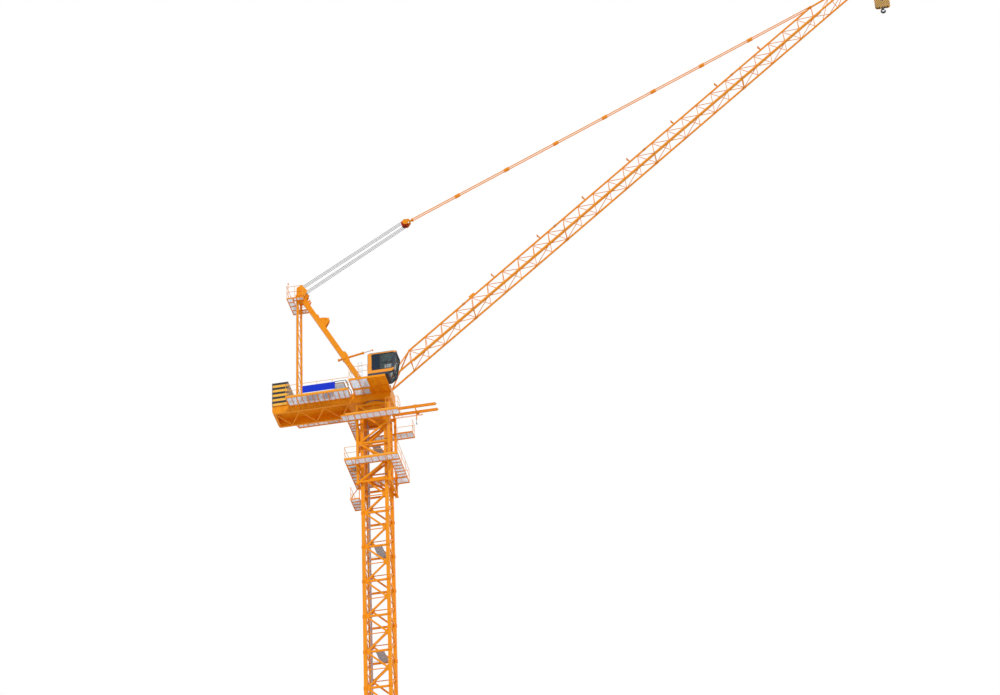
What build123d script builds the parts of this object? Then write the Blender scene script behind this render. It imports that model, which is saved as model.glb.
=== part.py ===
# Luffing jib tower crane, scale model 1:2, millimetres.
# +Z is up, +X is the side that the jib points to, -Y is the side of the operator's cab.
# The origin is the centre of the mast's foot, on the plane that it is bolted down to.

import os
from math import atan2, cos, degrees, hypot, radians, sin

from build123d import *

os.makedirs("parts", exist_ok=True)

# Clearances: pieces that seat face to face have none
curved_gap = 0.3
running_gap = 6.0

# Foundation feet and the flat cross that ties them
foot_height = 150.0
foot_plate = 260.0
foot_plate_thickness = 30.0
foot_rib = 16.0
foot_rib_reach = 104.0
tie_width = 120.0

# Mast
chord_pitch = 930.0
chord_size = 126.0
section_height = 1500.0
section_count = 9
end_bar_inset = 40.0
joint_lug_height = 110.0
joint_lug_reach = 16.0
mast_bar = 76.0
mast_thin_bar = 64.0
mast_bar_depth = 46.0

# Ladder and rest platforms inside the mast
ladder_x = -375.0
ladder_y = 200.0
ladder_width = 210.0
ladder_rail = 22.0
rung_pitch = 300.0
rung_size = 11.0
rest_deck_rear = -90.0
rest_deck_front = 230.0
rest_deck_thickness = 12.0
rest_deck_sections = 3
first_rest_joint = 2

# Decks, gratings and handrails
deck_depth = 50.0
deck_edge = 22.0
deck_rib = 16.0
grating_depth = 15.0
grating_gap = 3.0
rail_height = 550.0
rail_tube = 14.0
mid_rail_share = 0.52

# Climbing frame round the top of the mast
frame_pitch = 1240.0
frame_post = 90.0
frame_height = 3561.0
frame_top_rise = 350.0
frame_bays = 4
frame_bar = 75.0
frame_bar_depth = 40.0
frame_end_inset = 40.0
front_beam = 60.0
front_beam_height = 90.0
post_shoe = 130.0
post_shoe_height = 70.0
guide_bar = 40.0
guide_gap = 12.0
guide_levels = (300.0, 1900.0)
seat_bracket_rise = 200.0
seat_bracket = 60.0

# Work platforms on the climbing frame, from the frame's top downwards
upper_deck_drop = 670.0
upper_deck_outer = 1100.0
upper_near_rear = -1180.0
upper_near_front = 1110.0
upper_rear_edge = -1000.0
upper_far_front = 1300.0
upper_side_bays = 9
upper_rear_bays = 7
middle_deck_drop = 2710.0
middle_deck_half_length = 1050.0
middle_deck_outer = 1090.0
middle_side_bays = 8
middle_end_bays = 6
middle_side_spans = 4
middle_end_spans = 3
lower_deck_drop = 4090.0
lower_deck_rear = -980.0
lower_deck_front = -605.0
lower_deck_half_width = 430.0
lower_deck_bays = 4
lower_rail_spans = 2
hanger_size = 30.0
hanger_inset = 20.0
stay_size = 24.0

# Beams and trolley that bring in a new mast section
rail_beam_spacing = 400.0
rail_beam_height = 70.0
rail_beam_width = 45.0
rail_beam_reach = 2450.0
rail_beam_point = 120.0
trolley_place = 1600.0
trolley_length = 420.0
trolley_plate = 16.0
trolley_wheel_radius = 28.0
trolley_wheel_pitch = 300.0
trolley_drop = 120.0
trolley_beam_depth = 50.0
trolley_beam_length = 120.0
trolley_post = 40.0
trolley_post_length = 300.0

# Turntable
turntable_radius = 585.0
turntable_sides = 12
turntable_height = 500.0
turntable_chamfer = 60.0
ring_radius = 530.0
ring_height = 69.7

# Slewing frame and counter-jib
girder_height = 350.0
girder_pitch = 930.0
girder_web = 60.0
girder_corner = 120.0
girder_tail_slant = 60.0
girder_tail_rise = 110.0
end_beam = 60.0
slewing_frame_front = 690.0
slewing_frame_rear = 950.0
slewing_frame_height = 650.0
slewing_frame_slope = 250.0
counter_jib_reach = 4044.0
bracing_gap = 40.0
bracing_bays = 6
bracing_bar = 40.0
bracing_depth = 30.0
bracing_end_bar = 60.0
machinery_deck_thickness = 20.0
walkway_outer = 1110.0
walkway_drop = 50.0
walkway_rear_gap = 684.0
walkway_front = -850.0
walkway_bays = 12
walkway_rail_spans = 4

# Jib pivot and jib
pivot_x = 442.5
pivot_rise = 159.0
pivot_lug_thickness = 30.0
pivot_lug_gap = 6.0
pivot_lug_radius = 60.0
pivot_lug_foot = 150.0
pin_radius = 28.0
pin_gap = 1.0
pin_head = 10.0
luff_angle = 39.77
jib_width = 655.0
jib_depth = 676.0
jib_chord = 58.0
jib_top_chord = 56.0
jib_foot_radius = 52.0
jib_bay = 833.3
first_joint = 4705.0
joint_pitch = 5000.0
joint_count = 4
joint_knuckle_length = 130.0
joint_knuckle = 12.0
jib_bar = 22.0
jib_bar_depth = 20.0
top_chord_start = 1750.0
kink_strut = 40.0
kink_strut_foot = 190.0
pendant_place = 24288.0
jib_tip = 27300.0
jib_head_setback = 330.0
tip_sheave_drop = 300.0
tip_rise = 120.0
tip_bays = 3
head_beam = 60.0
tip_cheek_pitch = 120.0
tip_cheek = 12.0
tip_cheek_height = 130.0
tip_sheave_radius = 170.0
tip_axle_radius = 25.0
roller_pitch = 2500.0
first_roller = 6400.0
roller_count = 7
roller_post = 30.0
roller_height = 150.0
roller_radius = 28.0
roller_length = 90.0
guide_block_place = 5200.0
guide_block_length = 260.0
guide_block_height = 70.0
jib_walkway_width = 110.0
jib_walkway_thickness = 14.0
jib_walkway_start = 1500.0

# Rear and front legs of the A-frame
head_x = -3000.0
head_rise = 5235.0
head_sheave_radius = 150.0
head_base_drop = 400.0
head_base_depth = 70.0
head_base_overhang = 60.0
head_cheek = 24.0
head_cheek_pitch = 380.0
head_cheek_rear = 135.0
head_cheek_rear_rise = 120.0
head_cheek_crown = 75.0
head_cheek_crown_rise = 225.0
head_cheek_nose = 300.0
head_cheek_nose_drop = 75.0
head_axle_radius = 40.0
front_leg_foot_x = -290.0
front_leg_shoe = 130.0
front_leg_depth = 190.0
front_leg_width = 230.0
front_leg_head_x = -2900.0
leg_boss_radius = 115.0
leg_boss_width = 60.0
rear_leg_x = -3068.0
rear_leg_tube = 76.0
rear_leg_foot_spread = 720.0
rear_leg_head_spread = 580.0
rear_lacing_bar = 24.0
rear_lacing_count = 14
rear_lacing_start = 300.0
rear_lacing_end_gap = 300.0

# Platform round the A-frame's head
head_deck_drop = 604.0
head_deck_rear = 392.0
head_deck_front = 288.0
head_deck_half_width = 580.0
head_deck_side_strip = 240.0
head_deck_rear_strip = 250.0
head_bracket = 40.0
head_rear_bays = 4
head_side_bays = 3
head_rail_spans = 2
lamp_pole_height = 850.0
lamp_pole_radius = 9.0
lamp_radius = 26.0

# Luffing tackle and pendants
block_pin_reach = 4650.0
block_pin_rise = 2840.0
block_length = 355.0
block_slope = 25.7
block_sheave_radius = 120.0
block_cheek = 16.0
block_cheek_pitch = 272.0
block_cheek_rear = 72.0
block_cheek_rear_half = 60.0
block_cheek_middle = 48.0
block_cheek_middle_half = 144.0
block_axle_radius = 30.0
block_cross_gap = 112.0
block_cross = 46.0
block_nose_width = 50.0
block_nose_depth = 64.0
block_nose_reach = 32.0
tackle_sheave_pitch = 80.0
tackle_sheave_count = 3
tackle_sheave_width = 40.0
rope_size = 14.0
rope_sides = 6
pendant_bar_width = 24.0
pendant_bar_depth = 34.0
pendant_spacing = 110.0
pendant_eye_radius = 40.0
pendant_pin_radius = 14.0
pendant_pin_overhang = 20.0
connector_length = 230.0
connector_width = 34.0
connector_depth = 74.0
first_connector = 2092.0
connector_pitch = 2300.0
connector_count = 7

# Cab and its platform
cab_rear = 60.0
cab_side = 1680.0
cab_width = 740.0
cab_length = 1140.0
cab_nose_start = 790.0
cab_nose_reach = 1020.0
cab_nose_rise = 175.0
cab_height = 1030.0
cab_wall = 36.0
cab_glass_thickness = 8.0
cab_post = 170.0
cab_sill = 250.0
cab_header = 60.0
cab_pillar = 45.0
platform_rear = -700.0
platform_front = 740.0
platform_edge = 1690.0
platform_depth = 90.0
platform_divider = 965.0
platform_bays = 4
platform_grated_bays = 2
platform_beam = 24.0
platform_hole_radius = 28.0
platform_rail_spans = 2

# Counterweight, winches and cabinet
ballast_length = 655.0
ballast_height = 1070.0
ballast_half_width = 540.0
ballast_count = 5
ballast_chamfer = 10.0
drum_radius = 190.0
drum_length = 620.0
drum_flange_radius = 240.0
drum_flange = 20.0
drum_axis_height = 270.0
winch_stand = 40.0
winch_stand_length = 300.0
winch_stand_top = 120.0
winch_skid_height = 24.0
hoist_winch_x = -1850.0
luffing_winch_x = -2470.0
cabinet_rear = -1600.0
cabinet_length = 410.0
cabinet_near = -430.0
cabinet_width = 530.0
cabinet_height = 740.0
cabinet_roof = 20.0
cabinet_roof_overhang = 20.0

# Backstop
backstop_angle = 10.9
backstop_x = -450.0
backstop_rise = 1857.0
backstop_tube_length = 1010.0
backstop_radius = 42.0
backstop_collar_radius = 58.0
backstop_collar_length = 60.0
backstop_end_radius = 56.0
backstop_rod_radius = 20.0
backstop_rod_out = 345.0
backstop_head_radius = 40.0
backstop_head_length = 40.0

# Hook block and hook
hook_drop = 1217.0
hook_block_height = 560.0
hook_block_width = 620.0
hook_block_corner = 70.0
hook_cheek = 20.0
hook_cheek_pitch = 110.0
hook_sheave_width = 40.0
hook_sheave_drop = 190.0
crosshead_length = 200.0
crosshead_height = 110.0
shackle_place = 150.0
shackle_length = 60.0
shackle_radius = 9.0
hook_shank_radius = 28.0
hook_shank_length = 130.0
hook_outer_radius = 110.0
hook_inner_radius = 56.0
hook_inner_shift = 14.0
hook_thickness = 50.0
hook_mouth = 80.0
hook_mouth_out = 82.5
hook_mouth_rise = 56.0

# Levels and places worked out from the sizes above
mast_base = foot_height
mast_top = mast_base + section_count * section_height
ring_base = mast_top + turntable_height
slewing_base = ring_base + ring_height + curved_gap
deck_level = slewing_base + girder_height
frame_deck_level = slewing_base + slewing_frame_height
pivot_z = frame_deck_level + pivot_rise
head_z = pivot_z + head_rise
leg_head_z = head_z - head_base_drop
mast_half = chord_pitch / 2
frame_half = frame_pitch / 2
post_face = frame_half + frame_post / 2
frame_top = mast_top + frame_top_rise
frame_bottom = frame_top - frame_height
girder_outer = girder_pitch / 2 + girder_web / 2
girder_inner = girder_pitch / 2 - girder_web / 2
ballast_front = ballast_length - counter_jib_reach
jib_cos = cos(radians(luff_angle))
jib_sin = sin(radians(luff_angle))
stop_cos = cos(radians(backstop_angle))
stop_sin = sin(radians(backstop_angle))


def save(part, name):
    part.label = name
    export_step(part, f"parts/{name}.step")


def bar(start, end, width, depth=None, upright=(0, 0, 1)):
    """A straight bar of rectangular section from one point to another."""
    first = Vector(*start)
    along = Vector(*end) - first
    side = along.cross(Vector(*upright))
    if side.length < 1e-6 * along.length:
        side = Vector(0, 1, 0)
    with BuildPart() as piece:
        with BuildSketch(Plane(origin=first, x_dir=side, z_dir=along)):
            Rectangle(width, depth or width)
        extrude(amount=along.length)
    return piece.part


def tube(start, end, radius):
    """A straight round bar from one point to another."""
    first = Vector(*start)
    along = Vector(*end) - first
    with BuildPart() as piece:
        with BuildSketch(Plane(origin=first, z_dir=along)):
            Circle(radius)
        extrude(amount=along.length)
    return piece.part


def rope(start, end):
    """A taut stretch of wire rope, with few sides."""
    first = Vector(*start)
    along = Vector(*end) - first
    with BuildPart() as piece:
        with BuildSketch(Plane(origin=first, z_dir=along)):
            RegularPolygon(rope_size / 2, rope_sides)
        extrude(amount=along.length)
    return piece.part


def block(x_range, y_range, z_range):
    """A box between pairs of coordinates."""
    with BuildPart() as piece:
        with BuildSketch(Plane.XY.offset(z_range[0])):
            with Locations(((x_range[0] + x_range[1]) / 2, (y_range[0] + y_range[1]) / 2)):
                Rectangle(x_range[1] - x_range[0], y_range[1] - y_range[0])
        extrude(amount=z_range[1] - z_range[0])
    return piece.part


def side_plate(points, y_low, thickness):
    """A plate with an outline in X and Z, from one Y towards +Y."""
    with BuildPart() as piece:
        with BuildSketch(Plane.XZ.offset(-y_low)):
            with BuildLine():
                Polyline(*points, close=True)
            make_face()
        extrude(amount=-thickness)
    return piece.part


def zigzag_panel(plane, clear_width, levels, bar_width, depth, cross_bars, cross_width, overrun=0.0):
    """A flat lattice side: a zigzag over the levels and bars across at some of them.

    The plane's x axis runs across the panel and its y axis along it. Levels alternate
    between the left and right edges, and the panel is trimmed flat at both edges, or
    past them by the overrun.
    """
    half = clear_width / 2
    with BuildPart() as panel:
        with BuildSketch(plane):
            for index in range(len(levels) - 1):
                side = -1 if index % 2 == 0 else 1
                rise = levels[index + 1] - levels[index]
                run = -side * clear_width
                with Locations((0, (levels[index] + levels[index + 1]) / 2)):
                    Rectangle(hypot(run, rise) + bar_width * 2, bar_width, rotation=degrees(atan2(rise, run)))
            for level in cross_bars:
                with Locations((0, level)):
                    Rectangle(2 * half, cross_width)
            with Locations((0, (levels[0] + levels[-1]) / 2)):
                Rectangle(
                    clear_width + 2 * overrun, levels[-1] - levels[0] + bar_width, mode=Mode.INTERSECT
                )
        extrude(amount=depth / 2, both=True)
    return panel.part


def deck_frame(x_range, y_range, top, bays, bays_along_x=True):
    """The edge channels of a deck, with ribs between its bays below the grating."""
    length = x_range[1] - x_range[0]
    width = y_range[1] - y_range[0]
    centre = ((x_range[0] + x_range[1]) / 2, (y_range[0] + y_range[1]) / 2)
    pitch = ((length if bays_along_x else width) - deck_edge) / bays
    with BuildPart() as frame:
        with BuildSketch(Plane.XY.offset(top - deck_depth)):
            with Locations(centre):
                Rectangle(length, width)
                Rectangle(length - 2 * deck_edge, width - 2 * deck_edge, mode=Mode.SUBTRACT)
        extrude(amount=deck_depth)
        with BuildSketch(Plane.XY.offset(top - deck_depth)):
            for index in range(1, bays):
                step = index * pitch - bays * pitch / 2
                if bays_along_x:
                    with Locations((centre[0] + step, centre[1])):
                        Rectangle(deck_rib, width - deck_edge)
                else:
                    with Locations((centre[0], centre[1] + step)):
                        Rectangle(length - deck_edge, deck_rib)
        extrude(amount=deck_depth - grating_depth)
    return frame.part


def grating(x_range, y_range, top):
    """The grating of a deck, inside its edge channels and on its ribs."""
    inset = deck_edge + grating_gap
    return block(
        (x_range[0] + inset, x_range[1] - inset),
        (y_range[0] + inset, y_range[1] - inset),
        (top - grating_depth, top),
    )


def railing(start, end, spans):
    """A handrail on a deck: posts and two rails between two points of the deck's edge."""
    first = Vector(*start)
    along = Vector(*end) - first
    length = along.length
    with BuildPart() as piece:
        with BuildSketch(Plane(origin=first, x_dir=along, z_dir=along.cross(Vector(0, 0, 1)))):
            for index in range(spans + 1):
                with Locations((index * length / spans, rail_height / 2)):
                    Rectangle(rail_tube, rail_height)
            for height in (rail_height * mid_rail_share, rail_height - rail_tube / 2):
                with Locations((length / 2, height)):
                    Rectangle(length, rail_tube)
        extrude(amount=rail_tube / 2, both=True)
    return piece.part


def jib_point(along, across, up):
    """A point of the jib from its distance along, across and square to the jib's floor."""
    return (
        pivot_x + along * jib_cos - up * jib_sin,
        across,
        pivot_z + along * jib_sin + up * jib_cos,
    )


def stop_point(along, across=0.0):
    """A point on the backstop's axis, from the mouth of its tube."""
    return (backstop_x + along * stop_cos, across, pivot_z + backstop_rise + along * stop_sin)


# Foundation feet, one under each chord, tied by a flat diagonal cross
with BuildPart() as foundation_feet:
    with BuildSketch():
        with GridLocations(chord_pitch, chord_pitch, 2, 2):
            Rectangle(foot_plate, foot_plate)
        for turn in (45, -45):
            Rectangle(hypot(chord_pitch, chord_pitch), tie_width, rotation=turn)
    extrude(amount=foot_plate_thickness)
    with BuildSketch(Plane.XY.offset(foot_plate_thickness)):
        with GridLocations(chord_pitch, chord_pitch, 2, 2):
            Rectangle(chord_size, chord_size)
            Rectangle(2 * foot_rib_reach, foot_rib)
            Rectangle(foot_rib, 2 * foot_rib_reach)
    extrude(amount=foot_height - foot_plate_thickness)
save(foundation_feet.part, "foundation_feet")

# Mast chords with a lug at each section joint
with BuildPart() as mast_chords:
    with BuildSketch(Plane.XY.offset(mast_base)):
        with GridLocations(chord_pitch, chord_pitch, 2, 2):
            Rectangle(chord_size, chord_size)
    extrude(amount=section_count * section_height)
    for joint in range(1, section_count):
        joint_level = mast_base + joint * section_height
        with BuildSketch(Plane.XY.offset(joint_level - joint_lug_height / 2)):
            with GridLocations(chord_pitch + joint_lug_reach, chord_pitch + joint_lug_reach, 2, 2):
                Rectangle(chord_size, chord_size)
        extrude(amount=joint_lug_height)
save(mast_chords.part, "mast_chords")

# Mast sides: a zigzag with a heavy bar at each joint and a thin one half way
mast_levels = [mast_base + index * section_height / 2 for index in range(2 * section_count + 1)]
mast_levels[0] += end_bar_inset
mast_levels[-1] -= end_bar_inset
mast_clear = chord_pitch - chord_size
side_planes = {
    "mast_side_near": Plane(origin=(0, -mast_half, 0), x_dir=(1, 0, 0), z_dir=(0, -1, 0)),
    "mast_side_far": Plane(origin=(0, mast_half, 0), x_dir=(-1, 0, 0), z_dir=(0, 1, 0)),
    "mast_side_front": Plane(origin=(mast_half, 0, 0), x_dir=(0, 1, 0), z_dir=(1, 0, 0)),
    "mast_side_rear": Plane(origin=(-mast_half, 0, 0), x_dir=(0, -1, 0), z_dir=(-1, 0, 0)),
}
for side_name, side_plane in side_planes.items():
    side_part = zigzag_panel(
        side_plane, mast_clear, mast_levels, mast_thin_bar, mast_bar_depth, mast_levels[::2], mast_bar
    )
    save(side_part, side_name)

# Ladder along the rear side, with a rest platform beside it every few sections
side_face = mast_half - mast_bar_depth / 2
with BuildPart() as mast_ladder:
    with BuildSketch(Plane.XY.offset(mast_base)):
        with Locations((ladder_x, ladder_y)):
            with GridLocations(1, ladder_width, 1, 2):
                Rectangle(ladder_rail, ladder_rail)
    extrude(amount=mast_top - mast_base)
    rung_count = int((mast_top - mast_base) / rung_pitch)
    with BuildSketch(Plane.XZ.offset(ladder_width / 2 - ladder_y)):
        for rung in range(rung_count):
            with Locations((ladder_x, mast_base + (rung + 0.5) * rung_pitch)):
                Rectangle(rung_size, rung_size)
    extrude(amount=-ladder_width)
    for level in mast_levels[2:-1:2]:
        for side_y in (-1, 1):
            rail_y = ladder_y + side_y * ladder_width / 2
            add(
                block(
                    (-side_face, ladder_x),
                    (rail_y - rung_size / 2, rail_y + rung_size / 2),
                    (level - rung_size / 2, level + rung_size / 2),
                )
            )
    for joint in range(first_rest_joint, section_count, rest_deck_sections):
        level = mast_base + joint * section_height
        step_y = ladder_y + ladder_width / 2
        for x_range, y_range in (
            ((rest_deck_rear, rest_deck_front), (-side_face, side_face)),
            ((ladder_x, rest_deck_rear), (step_y - rung_size / 2, step_y + rung_size / 2)),
        ):
            add(block(x_range, y_range, (level - rest_deck_thickness / 2, level + rest_deck_thickness / 2)))
save(mast_ladder.part, "mast_ladder")

# Turntable on the mast head: a drum with chamfered edges and the slewing ring on it
with BuildPart() as turntable:
    with BuildSketch(Plane.XY.offset(mast_top)):
        RegularPolygon(turntable_radius, turntable_sides)
    extrude(amount=turntable_height)
    chamfer(turntable.faces().sort_by(Axis.Z)[-1].edges(), length=turntable_chamfer / 2)
    chamfer(turntable.faces().sort_by(Axis.Z)[0].edges(), length=turntable_chamfer)
    with BuildSketch(Plane.XY.offset(mast_top)):
        Rectangle(chord_pitch + chord_size, chord_pitch + chord_size)
    extrude(amount=turntable_chamfer)
    with BuildSketch(Plane.XY.offset(ring_base)):
        Circle(ring_radius)
    extrude(amount=ring_height)
save(turntable.part, "turntable")

# Climbing frame posts with a shoe at each foot
with BuildPart() as climbing_posts:
    with BuildSketch(Plane.XY.offset(frame_bottom)):
        with GridLocations(frame_pitch, frame_pitch, 2, 2):
            Rectangle(frame_post, frame_post)
    extrude(amount=frame_height)
    with BuildSketch(Plane.XY.offset(frame_bottom - post_shoe_height)):
        with GridLocations(frame_pitch, frame_pitch, 2, 2):
            Rectangle(post_shoe, post_shoe)
    extrude(amount=post_shoe_height)
save(climbing_posts.part, "climbing_posts")

# Climbing frame sides, open at the front where a new section comes in
frame_clear = frame_pitch - frame_post
frame_low = frame_bottom + frame_end_inset
frame_high = frame_top - frame_end_inset
frame_levels = [frame_low + index * (frame_high - frame_low) / frame_bays for index in range(frame_bays + 1)]
frame_planes = {
    "climbing_side_near": Plane(origin=(0, -frame_half, 0), x_dir=(1, 0, 0), z_dir=(0, -1, 0)),
    "climbing_side_far": Plane(origin=(0, frame_half, 0), x_dir=(-1, 0, 0), z_dir=(0, 1, 0)),
    "climbing_side_rear": Plane(origin=(-frame_half, 0, 0), x_dir=(0, -1, 0), z_dir=(-1, 0, 0)),
}
for side_name, side_plane in frame_planes.items():
    side_part = zigzag_panel(
        side_plane, frame_clear, frame_levels, frame_bar, frame_bar_depth, frame_levels[::2], frame_bar
    )
    save(side_part, side_name)

# Beams across the open front, at its head and foot
with BuildPart() as climbing_front_beams:
    for level in (frame_bottom + front_beam_height / 2, frame_top - front_beam_height / 2):
        add(
            block(
                (frame_half - front_beam / 2, frame_half + front_beam / 2),
                (-frame_clear / 2, frame_clear / 2),
                (level - front_beam_height / 2, level + front_beam_height / 2),
            )
        )
save(climbing_front_beams.part, "climbing_front_beams")

# Guides that keep the climbing frame centred on the mast, and brackets that hold it to the turntable
guide_reach = mast_half + chord_size / 2 + joint_lug_reach + guide_gap
with BuildPart() as climbing_guides:
    for level in guide_levels:
        for side_x in (-1, 1):
            for side_y in (-1, 1):
                add(
                    bar(
                        (side_x * frame_half, side_y * frame_half, frame_bottom + level),
                        (side_x * guide_reach, side_y * guide_reach, frame_bottom + level),
                        guide_bar,
                    )
                )
    for side_x in (-1, 1):
        for side_y in (-1, 1):
            add(
                bar(
                    (side_x * frame_half, side_y * frame_half, mast_top + seat_bracket_rise),
                    (side_x * mast_half / 2, side_y * mast_half / 2, mast_top + seat_bracket_rise),
                    seat_bracket,
                )
            )
    add(climbing_posts.part, mode=Mode.SUBTRACT)
    add(turntable.part, mode=Mode.SUBTRACT)
save(climbing_guides.part, "climbing_guides")

# Work platforms: decks outside the posts of the climbing frame
upper_deck = frame_top - upper_deck_drop
middle_deck = frame_top - middle_deck_drop
lower_deck = frame_top - lower_deck_drop
upper_strips = (
    ((upper_near_rear, upper_near_front), (-upper_deck_outer, -post_face), upper_side_bays, True),
    ((upper_rear_edge, -post_face), (-post_face, post_face), upper_rear_bays, False),
    ((upper_rear_edge, upper_far_front), (post_face, upper_deck_outer), upper_side_bays, True),
)
middle_x = (-middle_deck_half_length, middle_deck_half_length)
middle_strips = (
    (middle_x, (-middle_deck_outer, -post_face), middle_side_bays, True),
    ((-middle_deck_half_length, -post_face), (-post_face, post_face), middle_end_bays, False),
    ((post_face, middle_deck_half_length), (-post_face, post_face), middle_end_bays, False),
    (middle_x, (post_face, middle_deck_outer), middle_side_bays, True),
)
with BuildPart() as upper_platform:
    for x_range, y_range, bays, bays_along_x in upper_strips:
        add(deck_frame(x_range, y_range, upper_deck, bays, bays_along_x))
save(upper_platform.part, "upper_platform")

with BuildPart() as middle_platform:
    for x_range, y_range, bays, bays_along_x in middle_strips:
        add(deck_frame(x_range, y_range, middle_deck, bays, bays_along_x))
save(middle_platform.part, "middle_platform")

# Lower platform, hung from the rear side of the climbing frame
lower_x = (lower_deck_rear, lower_deck_front)
lower_y = (-lower_deck_half_width, lower_deck_half_width)
hanger_top = frame_levels[0] - frame_bar / 2
with BuildPart() as lower_platform:
    add(deck_frame(lower_x, lower_y, lower_deck, lower_deck_bays, False))
    for side_y in (-1, 1):
        y = side_y * (lower_deck_half_width - hanger_inset)
        add(bar((-frame_half, y, lower_deck - deck_depth), (-frame_half, y, hanger_top), hanger_size))
        add(
            bar(
                (lower_deck_rear + deck_edge / 2, y, lower_deck),
                (-frame_half, y, hanger_top - hanger_size),
                stay_size,
            )
        )
save(lower_platform.part, "lower_platform")

with BuildPart() as climbing_gratings:
    for x_range, y_range, bays, bays_along_x in upper_strips:
        add(grating(x_range, y_range, upper_deck))
    for x_range, y_range, bays, bays_along_x in middle_strips:
        add(grating(x_range, y_range, middle_deck))
    lower_inset = deck_edge + grating_gap
    add(
        block(
            (lower_deck_rear + lower_inset, -frame_half - hanger_size / 2 - grating_gap),
            (-lower_deck_half_width + lower_inset, lower_deck_half_width - lower_inset),
            (lower_deck - grating_depth, lower_deck),
        )
    )
save(climbing_gratings.part, "climbing_gratings")

# Handrails of the work platforms
half_rail = deck_edge / 2
with BuildPart() as climbing_handrails:
    near_y = -upper_deck_outer + half_rail
    near_x = upper_near_front - half_rail
    add(railing((frame_half, near_y, upper_deck), (near_x, near_y, upper_deck), 1))
    add(railing((near_x, near_y, upper_deck), (near_x, -post_face - half_rail, upper_deck), 1))
    far_y = upper_deck_outer - half_rail
    far_x = upper_far_front - half_rail
    add(railing((frame_half, far_y, upper_deck), (far_x, far_y, upper_deck), 1))
    add(railing((far_x, far_y, upper_deck), (far_x, post_face + half_rail, upper_deck), 1))
    edge_x = middle_deck_half_length - half_rail
    edge_y = middle_deck_outer - half_rail
    for side in (-1, 1):
        side_ends = ((-edge_x, side * edge_y, middle_deck), (edge_x, side * edge_y, middle_deck))
        add(railing(*side_ends, middle_side_spans))
        end_ends = ((side * edge_x, -edge_y, middle_deck), (side * edge_x, edge_y, middle_deck))
        add(railing(*end_ends, middle_end_spans))
    low_x = lower_deck_rear + half_rail
    low_y = lower_deck_half_width - hanger_inset - stay_size / 2 - rail_tube / 2 - grating_gap
    add(railing((low_x, -low_y, lower_deck), (low_x, low_y, lower_deck), lower_rail_spans))
save(climbing_handrails.part, "climbing_handrails")

# Introduction beams, hung under the front beam of the climbing frame
rail_beam_top = frame_top - front_beam_height
rail_beam_middle = rail_beam_top - rail_beam_height / 2
rail_beam_root = frame_half - front_beam / 2
with BuildPart() as introduction_beams:
    for side_y in (-1, 1):
        add(
            side_plate(
                (
                    (rail_beam_root, rail_beam_top),
                    (rail_beam_reach - rail_beam_point, rail_beam_top),
                    (rail_beam_reach, rail_beam_middle),
                    (rail_beam_reach - rail_beam_height / 2, rail_beam_top - rail_beam_height),
                    (rail_beam_root, rail_beam_top - rail_beam_height),
                ),
                side_y * rail_beam_spacing / 2 - rail_beam_width / 2,
                rail_beam_width,
            )
        )
save(introduction_beams.part, "introduction_beams")

# Trolley that hangs from the introduction beams
trolley_inner = rail_beam_spacing / 2 + rail_beam_width / 2 + running_gap
trolley_outer = trolley_inner + trolley_plate
wheel_level = rail_beam_top + trolley_wheel_radius + curved_gap
trolley_bottom = rail_beam_top - rail_beam_height - trolley_drop
with BuildPart() as introduction_trolley:
    for side_y in (-1, 1):
        add(
            block(
                (trolley_place - trolley_length / 2, trolley_place + trolley_length / 2),
                sorted((side_y * trolley_inner, side_y * trolley_outer)),
                (trolley_bottom, wheel_level + trolley_wheel_radius),
            )
        )
        for wheel in (-1, 1):
            wheel_x = trolley_place + wheel * trolley_wheel_pitch / 2
            add(
                tube(
                    (wheel_x, side_y * trolley_inner, wheel_level),
                    (wheel_x, side_y * (rail_beam_spacing / 2 - rail_beam_width / 2), wheel_level),
                    trolley_wheel_radius,
                )
            )
    add(
        block(
            (trolley_place - trolley_beam_length / 2, trolley_place + trolley_beam_length / 2),
            (-trolley_outer, trolley_outer),
            (trolley_bottom, trolley_bottom + trolley_beam_depth),
        )
    )
    add(
        bar(
            (trolley_place, 0, trolley_bottom - trolley_post_length),
            (trolley_place, 0, trolley_bottom),
            trolley_post,
        )
    )
save(introduction_trolley.part, "introduction_trolley")

# Slewing frame that turns on the ring
with BuildPart() as slewing_frame:
    add(
        side_plate(
            (
                (-slewing_frame_rear, slewing_base),
                (slewing_frame_front - girder_corner, slewing_base),
                (slewing_frame_front, slewing_base + girder_corner),
                (slewing_frame_front, frame_deck_level),
                (slewing_frame_slope - slewing_frame_rear, frame_deck_level),
                (-slewing_frame_rear, deck_level),
            ),
            -girder_inner,
            2 * girder_inner,
        )
    )
save(slewing_frame.part, "slewing_frame")

# Jib foot lugs on the slewing frame, two to each chord, with the pivot pins
with BuildPart() as jib_foot_lugs:
    for side_y in (-1, 1):
        chord_y = side_y * jib_width / 2
        lug_inner = jib_chord / 2 + pivot_lug_gap
        for y_low in (chord_y - lug_inner - pivot_lug_thickness, chord_y + lug_inner):
            with BuildSketch(Plane.XZ.offset(-y_low)):
                with BuildLine():
                    Polyline(
                        (pivot_x - pivot_lug_foot, frame_deck_level),
                        (pivot_x - pivot_lug_radius, pivot_z),
                        (pivot_x + pivot_lug_radius, pivot_z),
                        (pivot_x + pivot_lug_foot, frame_deck_level),
                        close=True,
                    )
                make_face()
                with Locations((pivot_x, pivot_z)):
                    Circle(pivot_lug_radius)
            extrude(amount=-pivot_lug_thickness)
        pin_reach = lug_inner + pivot_lug_thickness + pin_head
        pin_start = (pivot_x, chord_y - pin_reach, pivot_z)
        pin_end = (pivot_x, chord_y + pin_reach, pivot_z)
        add(tube(pin_start, pin_end, pin_radius))
save(jib_foot_lugs.part, "jib_foot_lugs")

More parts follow.
